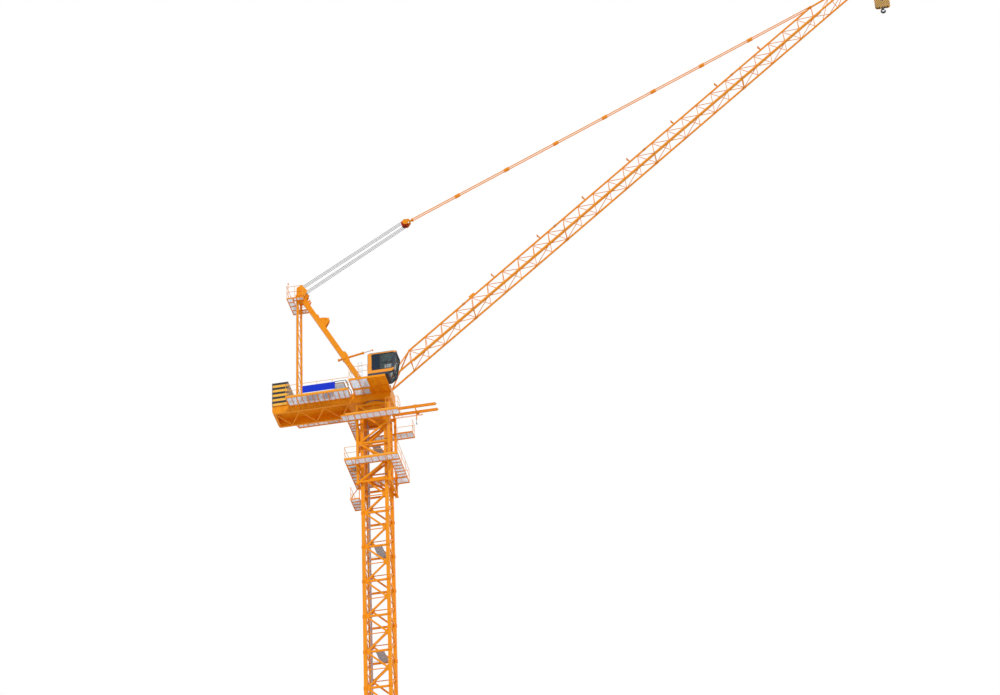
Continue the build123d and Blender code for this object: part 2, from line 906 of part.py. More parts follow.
# Counter-jib: two girders and the beam that joins their tails
with BuildPart() as counter_jib_girders:
    for side_y in (-1, 1):
        add(
            side_plate(
                (
                    (-counter_jib_reach, slewing_base + girder_tail_rise),
                    (-counter_jib_reach + girder_tail_slant, slewing_base),
                    (slewing_frame_front - girder_corner, slewing_base),
                    (slewing_frame_front, slewing_base + girder_corner),
                    (slewing_frame_front, deck_level),
                    (-counter_jib_reach, deck_level),
                ),
                side_y * girder_pitch / 2 - girder_web / 2,
                girder_web,
            )
        )
    add(
        block(
            (-counter_jib_reach, -counter_jib_reach + end_beam),
            (-girder_inner, girder_inner),
            (slewing_base + girder_tail_rise, deck_level),
        )
    )
save(counter_jib_girders.part, "counter_jib_girders")

bracing_start = slewing_frame_rear + bracing_gap
bracing_end = counter_jib_reach - end_beam - bracing_gap
bracing_levels = [
    bracing_start + index * (bracing_end - bracing_start) / bracing_bays for index in range(bracing_bays + 1)
]
counter_jib_bracing = zigzag_panel(
    Plane(origin=(0, 0, slewing_base + bracing_depth), x_dir=(0, 1, 0), z_dir=(0, 0, 1)),
    2 * girder_inner,
    bracing_levels,
    bracing_bar,
    bracing_depth,
    (bracing_levels[0], bracing_levels[-1]),
    bracing_end_bar,
)
save(counter_jib_bracing, "counter_jib_bracing")

# Deck between the girders, under the winches
with BuildPart() as machinery_deck:
    add(
        block(
            (-counter_jib_reach + end_beam, -slewing_frame_rear),
            (-girder_inner, girder_inner),
            (deck_level - machinery_deck_thickness, deck_level),
        )
    )
save(machinery_deck.part, "machinery_deck")

# Walkways outside the girders
walkway_x = (-counter_jib_reach + walkway_rear_gap, walkway_front)
walkway_level = deck_level - walkway_drop
walkway_sides = ((-walkway_outer, -girder_outer), (girder_outer, walkway_outer))
with BuildPart() as walkways:
    for y_range in walkway_sides:
        add(deck_frame(walkway_x, y_range, walkway_level, walkway_bays))
save(walkways.part, "walkways")

# Cab platform beside the slewing frame: two rows of bays, plated at the front of the outer row
platform_length = platform_front - platform_rear
platform_pitch = (platform_length - platform_beam) / platform_bays
platform_rows = ((-platform_edge, -platform_divider), (-platform_divider - platform_beam, -girder_outer))
plated_front = platform_rear + platform_grated_bays * platform_pitch
with BuildPart() as cab_platform:
    with BuildSketch(Plane.XY.offset(deck_level - platform_depth)):
        with Locations(((platform_rear + platform_front) / 2, -(platform_edge + girder_outer) / 2)):
            Rectangle(platform_length, platform_edge - girder_outer)
        for row_low, row_high in platform_rows:
            for bay in range(platform_bays):
                bay_x = platform_rear + platform_beam / 2 + (bay + 0.5) * platform_pitch
                bay_width = row_high - row_low - 2 * platform_beam
                with Locations((bay_x, (row_low + row_high) / 2)):
                    Rectangle(platform_pitch - platform_beam, bay_width, mode=Mode.SUBTRACT)
    extrude(amount=platform_depth)
    for row_low, row_high in platform_rows:
        add(
            block(
                (platform_rear + platform_beam, platform_front - platform_beam),
                (row_low + platform_beam, row_high - platform_beam),
                (deck_level - grating_depth, deck_level),
            ),
            mode=Mode.SUBTRACT,
        )
    add(
        block(
            (plated_front + platform_beam / 2, platform_front - platform_beam),
            (-platform_edge + platform_beam, -platform_divider - platform_beam),
            (deck_level - 2 * grating_depth, deck_level),
        )
    )
    with BuildSketch(Plane.XY.offset(deck_level)):
        with Locations(
            (
                platform_rear + (platform_grated_bays + 0.5) * platform_pitch,
                -(platform_edge + platform_divider) / 2,
            )
        ):
            Circle(platform_hole_radius)
    extrude(amount=-platform_depth, mode=Mode.SUBTRACT)
save(cab_platform.part, "cab_platform")

# Platform round the A-frame's head: a rear strip and two side strips
head_deck = head_z - head_deck_drop
head_deck_x = (rear_leg_x - head_deck_rear, rear_leg_x + head_deck_front)
head_rear_front = head_deck_x[0] + head_deck_rear_strip
head_deck_y = (-head_deck_half_width, head_deck_half_width)
head_strips = [((head_deck_x[0], head_rear_front), head_deck_y, head_rear_bays, False)]
for side_y in (-1, 1):
    strip_y = sorted((side_y * head_deck_half_width, side_y * (head_deck_half_width - head_deck_side_strip)))
    head_strips.append(((head_rear_front, head_deck_x[1]), strip_y, head_side_bays, True))

with BuildPart() as deck_gratings:
    for y_range in walkway_sides:
        add(grating(walkway_x, y_range, walkway_level))
    for (row_low, row_high), row_front in zip(platform_rows, (plated_front, platform_front - platform_beam)):
        add(
            block(
                (platform_rear + platform_beam + grating_gap, row_front - grating_gap),
                (row_low + platform_beam + grating_gap, row_high - platform_beam - grating_gap),
                (deck_level - grating_depth, deck_level),
            )
        )
    for x_range, y_range, bays, bays_along_x in head_strips:
        add(grating(x_range, y_range, head_deck))
save(deck_gratings.part, "deck_gratings")


def cab_outline(inset=0.0):
    """The cab's outline in X and Z, or a line inside it by the inset."""
    nose_run = cab_nose_reach - cab_nose_start
    front_run = cab_length - cab_nose_reach
    front_lean = front_run / (cab_height - cab_nose_rise)
    nose_shift = inset * (hypot(nose_run, cab_nose_rise) - nose_run) / cab_nose_rise
    front_shift = inset * hypot(1, front_lean)
    nose_lift = inset * hypot(nose_run, cab_nose_rise) / nose_run
    knee_x = cab_nose_reach - front_shift
    knee_z = cab_nose_rise + nose_lift - (cab_nose_reach - knee_x) * cab_nose_rise / nose_run
    return (
        (cab_rear + inset, deck_level + inset),
        (cab_rear + cab_nose_start + inset - nose_shift, deck_level + inset),
        (cab_rear + knee_x, deck_level + knee_z),
        (cab_rear + cab_length - inset * front_lean - front_shift, deck_level + cab_height - inset),
        (cab_rear + inset, deck_level + cab_height - inset),
    )


# Prisms that cut the cab's windows: one through both sides, two through the front
window_low = deck_level + cab_sill
window_high = deck_level + cab_height - cab_header
front_lean_run = (cab_length - cab_nose_reach) / (cab_height - cab_nose_rise)
pillar_low = cab_rear + cab_nose_reach + (cab_sill - cab_nose_rise) * front_lean_run - 2 * cab_pillar
pillar_high = cab_rear + cab_length - cab_header * front_lean_run - 2 * cab_pillar
with BuildPart() as side_windows:
    add(
        side_plate(
            (
                (cab_rear + cab_post, window_low),
                (pillar_low, window_low),
                (pillar_high, window_high),
                (cab_rear + cab_post, window_high),
            ),
            -cab_side,
            cab_width,
        )
    )
with BuildPart() as front_windows:
    for low, high in (
        (deck_level + cab_nose_rise + cab_pillar, window_high),
        (deck_level - cab_wall, deck_level + cab_nose_rise - cab_pillar / 2),
    ):
        add(
            block(
                (cab_rear + cab_nose_start + cab_pillar, cab_rear + cab_length + cab_wall),
                (-cab_side + cab_wall + cab_pillar / 2, -cab_side + cab_width - cab_wall - cab_pillar / 2),
                (low, high),
            )
        )

# Cab shell with its window openings
with BuildPart() as cab_shell:
    add(side_plate(cab_outline(), -cab_side, cab_width))
    add(
        side_plate(cab_outline(cab_wall), -cab_side + cab_wall, cab_width - 2 * cab_wall),
        mode=Mode.SUBTRACT,
    )
    add(side_windows.part, mode=Mode.SUBTRACT)
    add(front_windows.part, mode=Mode.SUBTRACT)
save(cab_shell.part, "cab_shell")

# Cab glass, in the middle of the walls' thickness
glass_outer = (cab_wall - cab_glass_thickness) / 2
glass_inner = (cab_wall + cab_glass_thickness) / 2
with BuildPart() as window_prisms:
    add(side_windows.part)
    add(front_windows.part)
with BuildPart() as cab_glass:
    add(side_plate(cab_outline(glass_outer), -cab_side + glass_outer, cab_width - 2 * glass_outer))
    add(
        side_plate(cab_outline(glass_inner), -cab_side + glass_inner, cab_width - 2 * glass_inner),
        mode=Mode.SUBTRACT,
    )
    add(window_prisms.part, mode=Mode.INTERSECT)
save(cab_glass.part, "cab_glass")

# Counterweight slabs
slab_height = (ballast_height - (ballast_count - 1) * curved_gap) / ballast_count
with BuildPart() as counterweights:
    for slab in range(ballast_count):
        level = deck_level + slab * (slab_height + curved_gap)
        with BuildSketch(Plane.XY.offset(level)):
            with Locations((ballast_front - ballast_length / 2, 0)):
                Rectangle(ballast_length, 2 * ballast_half_width)
        extrude(amount=slab_height)
    chamfer(counterweights.edges().filter_by(Axis.Y), length=ballast_chamfer)
save(counterweights.part, "counterweights")

# Winches: a drum between flanges on two stands that share a skid
for winch_name, winch_x in (("hoist_winch", hoist_winch_x), ("luffing_winch", luffing_winch_x)):
    drum_level = deck_level + drum_axis_height
    with BuildPart() as winch:
        drum_half = drum_length / 2
        add(tube((winch_x, -drum_half, drum_level), (winch_x, drum_half, drum_level), drum_radius))
        for side_y in (-1, 1):
            flange_y = side_y * drum_half
            stand_y = side_y * (drum_half + drum_flange)
            add(
                tube(
                    (winch_x, flange_y, drum_level),
                    (winch_x, stand_y, drum_level),
                    drum_flange_radius,
                )
            )
            add(
                side_plate(
                    (
                        (winch_x - winch_stand_length / 2, deck_level),
                        (winch_x + winch_stand_length / 2, deck_level),
                        (winch_x + winch_stand_top / 2, drum_level + winch_stand_top / 2),
                        (winch_x - winch_stand_top / 2, drum_level + winch_stand_top / 2),
                    ),
                    min(stand_y, stand_y + side_y * winch_stand),
                    winch_stand,
                )
            )
        add(
            block(
                (winch_x - winch_stand_length / 2, winch_x + winch_stand_length / 2),
                (-drum_half - drum_flange, drum_half + drum_flange),
                (deck_level, deck_level + winch_skid_height),
            )
        )
    save(winch.part, winch_name)

# Electrical cabinet with a flat roof
with BuildPart() as electrical_cabinet:
    add(
        block(
            (cabinet_rear, cabinet_rear + cabinet_length),
            (cabinet_near, cabinet_near + cabinet_width),
            (deck_level, deck_level + cabinet_height),
        )
    )
    add(
        block(
            (cabinet_rear - cabinet_roof_overhang, cabinet_rear + cabinet_length + cabinet_roof_overhang),
            (
                cabinet_near - cabinet_roof_overhang,
                cabinet_near + cabinet_width + cabinet_roof_overhang,
            ),
            (deck_level + cabinet_height, deck_level + cabinet_height + cabinet_roof),
        )
    )
save(electrical_cabinet.part, "electrical_cabinet")

# A-frame front leg, a box girder with a boss that the backstop passes through
leg_foot_z = frame_deck_level + front_leg_shoe
leg_angle = atan2(leg_head_z - leg_foot_z, front_leg_foot_x - front_leg_head_x)
leg_half_run = front_leg_depth / sin(leg_angle) / 2
leg_lean = cos(leg_angle) / sin(leg_angle)
stop_to_leg = (front_leg_foot_x - backstop_x - (pivot_z + backstop_rise - leg_foot_z) * leg_lean) / (
    stop_cos + stop_sin * leg_lean
)
boss_centre = stop_point(stop_to_leg)
with BuildPart() as aframe_front_leg:
    add(
        side_plate(
            (
                (front_leg_foot_x - leg_half_run, frame_deck_level),
                (front_leg_foot_x + leg_half_run, frame_deck_level),
                (front_leg_foot_x + leg_half_run, leg_foot_z),
                (front_leg_head_x + leg_half_run, leg_head_z),
                (front_leg_head_x - leg_half_run, leg_head_z),
                (front_leg_foot_x - leg_half_run, leg_foot_z),
            ),
            -front_leg_width / 2,
            front_leg_width,
        )
    )
    add(
        tube(
            (boss_centre[0], -front_leg_width / 2 - leg_boss_width / 2, boss_centre[2]),
            (boss_centre[0], front_leg_width / 2 + leg_boss_width / 2, boss_centre[2]),
            leg_boss_radius,
        )
    )
    stop_hole_start = stop_point(-backstop_tube_length)
    stop_hole_end = stop_point(backstop_collar_length)
    add(tube(stop_hole_start, stop_hole_end, backstop_radius + curved_gap), mode=Mode.SUBTRACT)
save(aframe_front_leg.part, "aframe_front_leg")

# A-frame rear legs with their lacing
leg_taper = (rear_leg_foot_spread - rear_leg_head_spread) / (leg_head_z - deck_level) / 2


def rear_leg_y(level):
    """Half the distance between the rear legs' axes at a level."""
    return rear_leg_foot_spread / 2 - (level - deck_level) * leg_taper


with BuildPart() as aframe_rear_legs:
    for side_y in (-1, 1):
        low = deck_level - rear_leg_tube
        high = leg_head_z + rear_leg_tube
        add(
            bar(
                (rear_leg_x, side_y * rear_leg_y(low), low),
                (rear_leg_x, side_y * rear_leg_y(high), high),
                rear_leg_tube,
            )
        )
    lacing_base = deck_level + rear_lacing_start
    lacing_pitch = (leg_head_z - rear_lacing_end_gap - lacing_base) / rear_lacing_count
    for index in range(rear_lacing_count):
        side = -1 if index % 2 == 0 else 1
        low = lacing_base + index * lacing_pitch
        high = low + lacing_pitch
        add(
            bar(
                (rear_leg_x, side * rear_leg_y(low), low),
                (rear_leg_x, -side * rear_leg_y(high), high),
                rear_lacing_bar,
            )
        )
    add(
        block(
            (rear_leg_x - rear_leg_tube, rear_leg_x + rear_leg_tube),
            (-rear_leg_foot_spread, rear_leg_foot_spread),
            (deck_level, leg_head_z),
        ),
        mode=Mode.INTERSECT,
    )
save(aframe_rear_legs.part, "aframe_rear_legs")

# A-frame head: a base across the legs, two cheeks, and the sheaves on their axle
tackle_middle = (tackle_sheave_count - 1) / 2
head_base_top = leg_head_z + head_base_depth
with BuildPart() as aframe_head:
    add(
        block(
            (rear_leg_x - rear_leg_tube, front_leg_head_x + leg_half_run),
            (-rear_leg_head_spread / 2 - head_base_overhang, rear_leg_head_spread / 2 + head_base_overhang),
            (leg_head_z, head_base_top),
        )
    )
    for side_y in (-1, 1):
        add(
            side_plate(
                (
                    (rear_leg_x - rear_leg_tube, head_base_top),
                    (head_x - head_cheek_rear, head_z + head_cheek_rear_rise),
                    (head_x + head_cheek_crown, head_z + head_cheek_crown_rise),
                    (head_x + head_cheek_nose, head_z - head_cheek_nose_drop),
                    (front_leg_head_x + leg_half_run, head_base_top),
                ),
                side_y * head_cheek_pitch / 2 - head_cheek / 2,
                head_cheek,
            )
        )
    add(
        tube(
            (head_x, -head_cheek_pitch / 2, head_z),
            (head_x, head_cheek_pitch / 2, head_z),
            head_axle_radius,
        )
    )
    for sheave in range(tackle_sheave_count):
        y = (sheave - tackle_middle) * tackle_sheave_pitch
        add(
            tube(
                (head_x, y - tackle_sheave_width / 2, head_z),
                (head_x, y + tackle_sheave_width / 2, head_z),
                head_sheave_radius,
            )
        )
save(aframe_head.part, "aframe_head")

with BuildPart() as head_platform:
    for x_range, y_range, bays, bays_along_x in head_strips:
        add(deck_frame(x_range, y_range, head_deck, bays, bays_along_x))
    for side_y in (-1, 1):
        add(
            block(
                (rear_leg_x - head_bracket / 2, rear_leg_x + head_bracket / 2),
                sorted((side_y * rear_leg_head_spread / 2, side_y * (head_deck_half_width - deck_edge / 2))),
                (head_deck - deck_depth, head_deck - grating_depth),
            )
        )
    add(aframe_rear_legs.part, mode=Mode.SUBTRACT)
    pole_x = head_deck_x[0] + deck_edge / 2
    pole_y = -head_deck_half_width + head_deck_side_strip
    add(tube((pole_x, pole_y, head_deck), (pole_x, pole_y, head_deck + lamp_pole_height), lamp_pole_radius))
    add(
        tube(
            (pole_x, pole_y, head_deck + lamp_pole_height),
            (pole_x, pole_y, head_deck + lamp_pole_height + 2 * lamp_radius),
            lamp_radius,
        )
    )
save(head_platform.part, "head_platform")

# Handrails of the walkways, the cab's platform and the head's platform
with BuildPart() as deck_handrails:
    for side_y in (-1, 1):
        y = side_y * (walkway_outer - half_rail)
        rail_start = (walkway_x[0] + half_rail, y, walkway_level)
        rail_end = (walkway_x[1] - half_rail, y, walkway_level)
        add(railing(rail_start, rail_end, walkway_rail_spans))
    cab_rail_y = -platform_edge + half_rail
    cab_rail_x = platform_rear + half_rail
    cab_rail_end = (cab_rear - rail_tube, cab_rail_y, deck_level)
    add(railing((cab_rail_x, cab_rail_y, deck_level), cab_rail_end, platform_rail_spans))
    add(railing((cab_rail_x, cab_rail_y, deck_level), (cab_rail_x, -walkway_outer, deck_level), 1))
    head_rail_x = head_deck_x[0] + half_rail
    head_rail_front = head_deck_x[1] - half_rail
    head_rail_y = head_deck_half_width - half_rail
    head_rail_end = (head_rail_x, head_rail_y, head_deck)
    add(railing((head_rail_x, -head_rail_y, head_deck), head_rail_end, head_rail_spans))
    for side in (-1, 1):
        y = side * head_rail_y
        add(railing((head_rail_x, y, head_deck), (head_rail_front, y, head_deck), head_rail_spans))
    add(head_platform.part, mode=Mode.SUBTRACT)
save(deck_handrails.part, "deck_handrails")

# Backstop tube through the front leg, with a collar at its mouth and a stop at its end
with BuildPart() as backstop_tube:
    add(tube(stop_point(-backstop_tube_length), stop_point(0), backstop_radius))
    add(tube(stop_point(-backstop_collar_length), stop_point(0), backstop_collar_radius))
    add(
        tube(
            stop_point(-backstop_tube_length - backstop_collar_length),
            stop_point(-backstop_tube_length),
            backstop_end_radius,
        )
    )
    add(
        tube(
            stop_point(-backstop_tube_length + backstop_collar_length),
            stop_point(0),
            backstop_rod_radius + curved_gap,
        ),
        mode=Mode.SUBTRACT,
    )
save(backstop_tube.part, "backstop_tube")

with BuildPart() as backstop_rod:
    add(tube(stop_point(-backstop_tube_length / 3), stop_point(backstop_rod_out), backstop_rod_radius))
    add(
        tube(
            stop_point(backstop_rod_out),
            stop_point(backstop_rod_out + backstop_head_length),
            backstop_head_radius,
        )
    )
save(backstop_rod.part, "backstop_rod")

# Jib chords with an eye at the pivot and knuckles at the section joints
jib_up = (-jib_sin, 0, jib_cos)
joint_places = [first_joint + index * joint_pitch for index in range(joint_count)]
with BuildPart() as jib_chords:
    for side_y in (-1, 1):
        y = side_y * jib_width / 2
        add(bar(jib_point(0, y, 0), jib_point(jib_tip - jib_head_setback, y, 0), jib_chord, upright=jib_up))
        for place in joint_places:
            add(
                bar(
                    jib_point(place - joint_knuckle_length / 2, y, 0),
                    jib_point(place + joint_knuckle_length / 2, y, 0),
                    jib_chord + joint_knuckle,
                    upright=jib_up,
                )
            )
        eye_low = jib_point(0, y - jib_chord / 2, 0)
        eye_high = jib_point(0, y + jib_chord / 2, 0)
        add(tube(eye_low, eye_high, jib_foot_radius))
        add(tube(eye_low, eye_high, pin_radius + pin_gap), mode=Mode.SUBTRACT)
save(jib_chords.part, "jib_chords")

# Jib top chord: from the two struts at its foot to the pendants' node, then down to the head
tip_chord_end = jib_tip - jib_head_setback - head_beam / 2
pendant_end = jib_point(pendant_place, 0, jib_depth)
pendant_bore = tube(
    jib_point(pendant_place, -jib_top_chord, jib_depth),
    jib_point(pendant_place, jib_top_chord, jib_depth),
    pendant_pin_radius + pin_gap,
)


def tip_up(along):
    """Height of the top chord above the jib's floor, past the pendants' node."""
    return jib_depth + (tip_rise - jib_depth) * (along - pendant_place) / (tip_chord_end - pendant_place)


with BuildPart() as jib_top_chord_part:
    add(
        bar(
            jib_point(top_chord_start, 0, jib_depth),
            jib_point(pendant_place + jib_top_chord, 0, jib_depth),
            jib_top_chord,
            upright=jib_up,
        )
    )
    add(bar(pendant_end, jib_point(tip_chord_end, 0, tip_rise), jib_top_chord, upright=jib_up))
    for place in joint_places:
        add(
            bar(
                jib_point(place - joint_knuckle_length / 2, 0, jib_depth),
                jib_point(place + joint_knuckle_length / 2, 0, jib_depth),
                jib_top_chord + joint_knuckle,
                upright=jib_up,
            )
        )
    for side_y in (-1, 1):
        y = side_y * jib_width / 2
        add(
            bar(
                jib_point(top_chord_start + kink_strut / 2, 0, jib_depth),
                jib_point(kink_strut_foot, y, 0),
                kink_strut,
                upright=jib_up,
            )
        )
        tip_pitch = (tip_chord_end - pendant_place) / tip_bays
        for index in range(1, tip_bays):
            place = pendant_place + index * tip_pitch
            add(bar(jib_point(place, 0, tip_up(place)), jib_point(place, y, 0), jib_bar, upright=(0, 1, 0)))
            add(
                bar(
                    jib_point(place, 0, tip_up(place)),
                    jib_point(place - tip_pitch, y, 0),
                    jib_bar,
                    upright=(0, 1, 0),
                )
            )
    add(jib_chords.part, mode=Mode.SUBTRACT)
    add(pendant_bore, mode=Mode.SUBTRACT)
save(jib_top_chord_part.part, "jib_top_chord")

# Jib sides: lacing between the top chord and each lower chord
side_slant = hypot(jib_width / 2, jib_depth)
lacing_bays_before_joint = 4
lacing_first = first_joint - lacing_bays_before_joint * jib_bay
lacing_count = int(2 * (pendant_place - lacing_first) / jib_bay + 0.5)
jib_levels = [lacing_first + index * jib_bay / 2 for index in range(lacing_count + 1)]
for side_y, side_name in ((-1, "jib_side_near"), (1, "jib_side_far")):
    middle = jib_point(0, side_y * jib_width / 4, jib_depth / 2)
    across = Vector(*jib_point(0, 0, jib_depth)) - Vector(*jib_point(0, side_y * jib_width / 2, 0))
    normal = across.cross(Vector(jib_cos, 0, jib_sin))
    side_part = zigzag_panel(
        Plane(origin=middle, x_dir=across, z_dir=normal),
        side_slant - jib_chord - jib_bar,
        jib_levels,
        jib_bar,
        jib_bar_depth,
        [],
        jib_bar,
        overrun=jib_bar,
    )
    with BuildPart() as jib_side:
        add(side_part)
        add(jib_chords.part, mode=Mode.SUBTRACT)
        add(jib_top_chord_part.part, mode=Mode.SUBTRACT)
        add(pendant_bore, mode=Mode.SUBTRACT)
    save(jib_side.part, side_name)

# Jib floor: lacing between the lower chords, with a bar across at each section joint
floor_count = int((tip_chord_end - lacing_first) / jib_bay)
bottom_levels = [lacing_first + index * jib_bay for index in range(floor_count + 1)]
with BuildPart() as jib_floor:
    add(
        zigzag_panel(
            Plane(origin=jib_point(0, 0, 0), x_dir=(0, -1, 0), z_dir=jib_up),
            jib_width - jib_chord,
            bottom_levels,
            jib_bar,
            jib_bar_depth,
            (bottom_levels[0], *joint_places, bottom_levels[-1]),
            2 * jib_bar,
        )
    )
    add(jib_chords.part, mode=Mode.SUBTRACT)
save(jib_floor.part, "jib_floor_lacing")

# Narrow walkway on the floor lacing, along the near chord
walkway_y = -jib_width / 2 + jib_chord / 2 + joint_knuckle / 2 + jib_walkway_width / 2
walkway_up = jib_bar_depth / 2 + jib_walkway_thickness / 2
with BuildPart() as jib_walkway:
    add(
        bar(
            jib_point(jib_walkway_start, walkway_y, walkway_up),
            jib_point(pendant_place, walkway_y, walkway_up),
            jib_walkway_width,
            jib_walkway_thickness,
            upright=jib_up,
        )
    )
save(jib_walkway.part, "jib_walkway")

# Jib head: a beam across the chords, and two cheeks that carry the rope sheave below them
head_place = jib_tip - jib_head_setback + head_beam / 2
with BuildPart() as jib_head:
    add(
        bar(
            jib_point(head_place, -jib_width / 2 - jib_chord / 2, 0),
            jib_point(head_place, jib_width / 2 + jib_chord / 2, 0),
            head_beam,
            jib_chord,
            upright=jib_up,
        )
    )
    for side_y in (-1, 1):
        cheek_origin = jib_point(0, side_y * tip_cheek_pitch / 2, 0)
        with BuildSketch(Plane(origin=cheek_origin, x_dir=(jib_cos, 0, jib_sin), z_dir=(0, -1, 0))):
            with BuildLine():
                Polyline(
                    (head_place - head_beam / 2, -jib_chord / 2),
                    (jib_tip - 2 * tip_axle_radius, -tip_sheave_drop),
                    (jib_tip, -tip_sheave_drop - 2 * tip_axle_radius),
                    (jib_tip + 2 * tip_axle_radius, -tip_sheave_drop),
                    (head_place + head_beam / 2, tip_cheek_height),
                    (head_place - head_beam / 2, tip_cheek_height),
                    close=True,
                )
            make_face()
        extrude(amount=tip_cheek / 2, both=True)
    add(
        tube(
            jib_point(jib_tip, -tip_cheek_pitch / 2, -tip_sheave_drop),
            jib_point(jib_tip, tip_cheek_pitch / 2, -tip_sheave_drop),
            tip_axle_radius,
        )
    )
    add(
        tube(
            jib_point(jib_tip, -hook_sheave_width / 2, -tip_sheave_drop),
            jib_point(jib_tip, hook_sheave_width / 2, -tip_sheave_drop),
            tip_sheave_radius,
        )
    )
save(jib_head.part, "jib_head")

# Rope rollers on posts along the top chord, and the rope guide near its foot
with BuildPart() as rope_rollers:
    roller_base = jib_depth + jib_top_chord / 2
    roller_up = roller_base + roller_height
    for index in range(roller_count):
        place = first_roller + index * roller_pitch
        add(bar(jib_point(place, 0, roller_base), jib_point(place, 0, roller_up), roller_post))
        add(
            tube(
                jib_point(place, -roller_length / 2, roller_up),
                jib_point(place, roller_length / 2, roller_up),
                roller_radius,
            )
        )
    add(
        bar(
            jib_point(guide_block_place - guide_block_length / 2, 0, roller_base + guide_block_height / 2),
            jib_point(guide_block_place + guide_block_length / 2, 0, roller_base + guide_block_height / 2),
            jib_top_chord,
            guide_block_height,
            upright=jib_up,
        )
    )
save(rope_rollers.part, "rope_rollers")

# Pendant bars from the floating block to the jib, with a connector at each joint
block_pin = (head_x + block_pin_reach, head_z + block_pin_rise)
pendant_start = Vector(block_pin[0], 0, block_pin[1])
pendant_way = (Vector(*pendant_end) - pendant_start).normalized()
with BuildPart() as pendants:
    for side_y in (-1, 1):
        y = side_y * pendant_spacing / 2
        shift = Vector(0, y, 0)
        add(
            bar(
                (pendant_start + shift),
                (Vector(*pendant_end) + shift),
                pendant_bar_width,
                pendant_bar_depth,
            )
        )
        for index in range(connector_count):
            place = pendant_start + shift + pendant_way * (first_connector + index * connector_pitch)
            half = pendant_way * connector_length / 2
            add(bar((place - half), (place + half), connector_width, connector_depth))
        for end_x, end_z in (block_pin, (pendant_end[0], pendant_end[2])):
            add(
                tube(
                    (end_x, y - connector_width / 2, end_z),
                    (end_x, y + connector_width / 2, end_z),
                    pendant_eye_radius,
                )
            )
    pin_reach = pendant_spacing / 2 + pendant_pin_overhang
    add(
        tube(
            (pendant_end[0], -pin_reach, pendant_end[2]),
            (pendant_end[0], pin_reach, pendant_end[2]),
            pendant_pin_radius,
        )
    )
save(pendants.part, "pendants")

# Floating block of the luffing tackle; its nose reaches between the pendants' eyes
block_way = Vector(cos(radians(block_slope)), 0, sin(radians(block_slope)))
block_side = Vector(-sin(radians(block_slope)), 0, cos(radians(block_slope)))
block_sheave = pendant_start - block_way * block_length
cross_place = pendant_start - block_way * (block_cross_gap + block_cross / 2)
with BuildPart() as floating_block:
    add(
        tube(
            (block_sheave.X, -block_cheek_pitch / 2, block_sheave.Z),
            (block_sheave.X, block_cheek_pitch / 2, block_sheave.Z),
            block_axle_radius,
        )
    )
    for sheave in range(tackle_sheave_count):
        y = (sheave - tackle_middle) * tackle_sheave_pitch
        add(
            tube(
                (block_sheave.X, y - tackle_sheave_width / 2, block_sheave.Z),
                (block_sheave.X, y + tackle_sheave_width / 2, block_sheave.Z),
                block_sheave_radius,
            )
        )
    cheek_rear = block_sheave - block_way * block_cheek_rear
    cheek_mid = block_sheave + block_way * block_cheek_middle
    cheek_front = cross_place + block_way * block_cross / 2
    for side_y in (-1, 1):
        corners = (
            cheek_rear - block_side * block_cheek_rear_half,
            cheek_mid - block_side * block_cheek_middle_half,
            cheek_front - block_side * block_nose_depth / 2,
            cheek_front + block_side * block_nose_depth / 2,
            cheek_mid + block_side * block_cheek_middle_half,
            cheek_rear + block_side * block_cheek_rear_half,
        )
        add(
            side_plate(
                [(corner.X, corner.Z) for corner in corners],
                side_y * block_cheek_pitch / 2 - block_cheek / 2,
                block_cheek,
            )
        )
    add(
        bar(
            (cross_place.X, -block_cheek_pitch / 2, cross_place.Z),
            (cross_place.X, block_cheek_pitch / 2, cross_place.Z),
            block_cross,
            block_nose_depth,
            upright=block_side,
        )
    )
    nose_tip = pendant_start + block_way * block_nose_reach
    add(
        bar(
            cross_place,
            nose_tip,
            block_nose_width,
            block_nose_depth,
            upright=block_side,
        )
    )
save(floating_block.part, "floating_block")

# Luffing rope falls, tangent to the sheaves of the head and of the floating block
head_centre = Vector(head_x, 0, head_z)
tackle_way = (block_sheave - head_centre).normalized()
tackle_side = Vector(-tackle_way.Z, 0, tackle_way.X)
with BuildPart() as luffing_ropes:
    for sheave in range(tackle_sheave_count):
        for side in (-1, 1):
            shift = Vector(0, (sheave - tackle_middle) * tackle_sheave_pitch, 0)
            head_off = tackle_side * side * (head_sheave_radius + rope_size / 2 + curved_gap)
            block_off = tackle_side * side * (block_sheave_radius + rope_size / 2 + curved_gap)
            start = head_centre + shift + head_off
            end = block_sheave + shift + block_off
            add(rope(start, end))
save(luffing_ropes.part, "luffing_ropes")

# Hoist rope falls between the jib's tip sheave and the hook block's sheave
tip = jib_point(jib_tip, 0, -tip_sheave_drop)
hook_top = tip[2] - hook_drop
fall_offset = tip_sheave_radius + rope_size / 2 + curved_gap
hook_sheave_z = hook_top - hook_sheave_drop
with BuildPart() as hoist_ropes:
    for side in (-1, 1):
        fall_x = tip[0] + side * fall_offset
        add(rope((fall_x, 0, hook_sheave_z), (fall_x, 0, tip[2])))
save(hoist_ropes.part, "hoist_ropes")

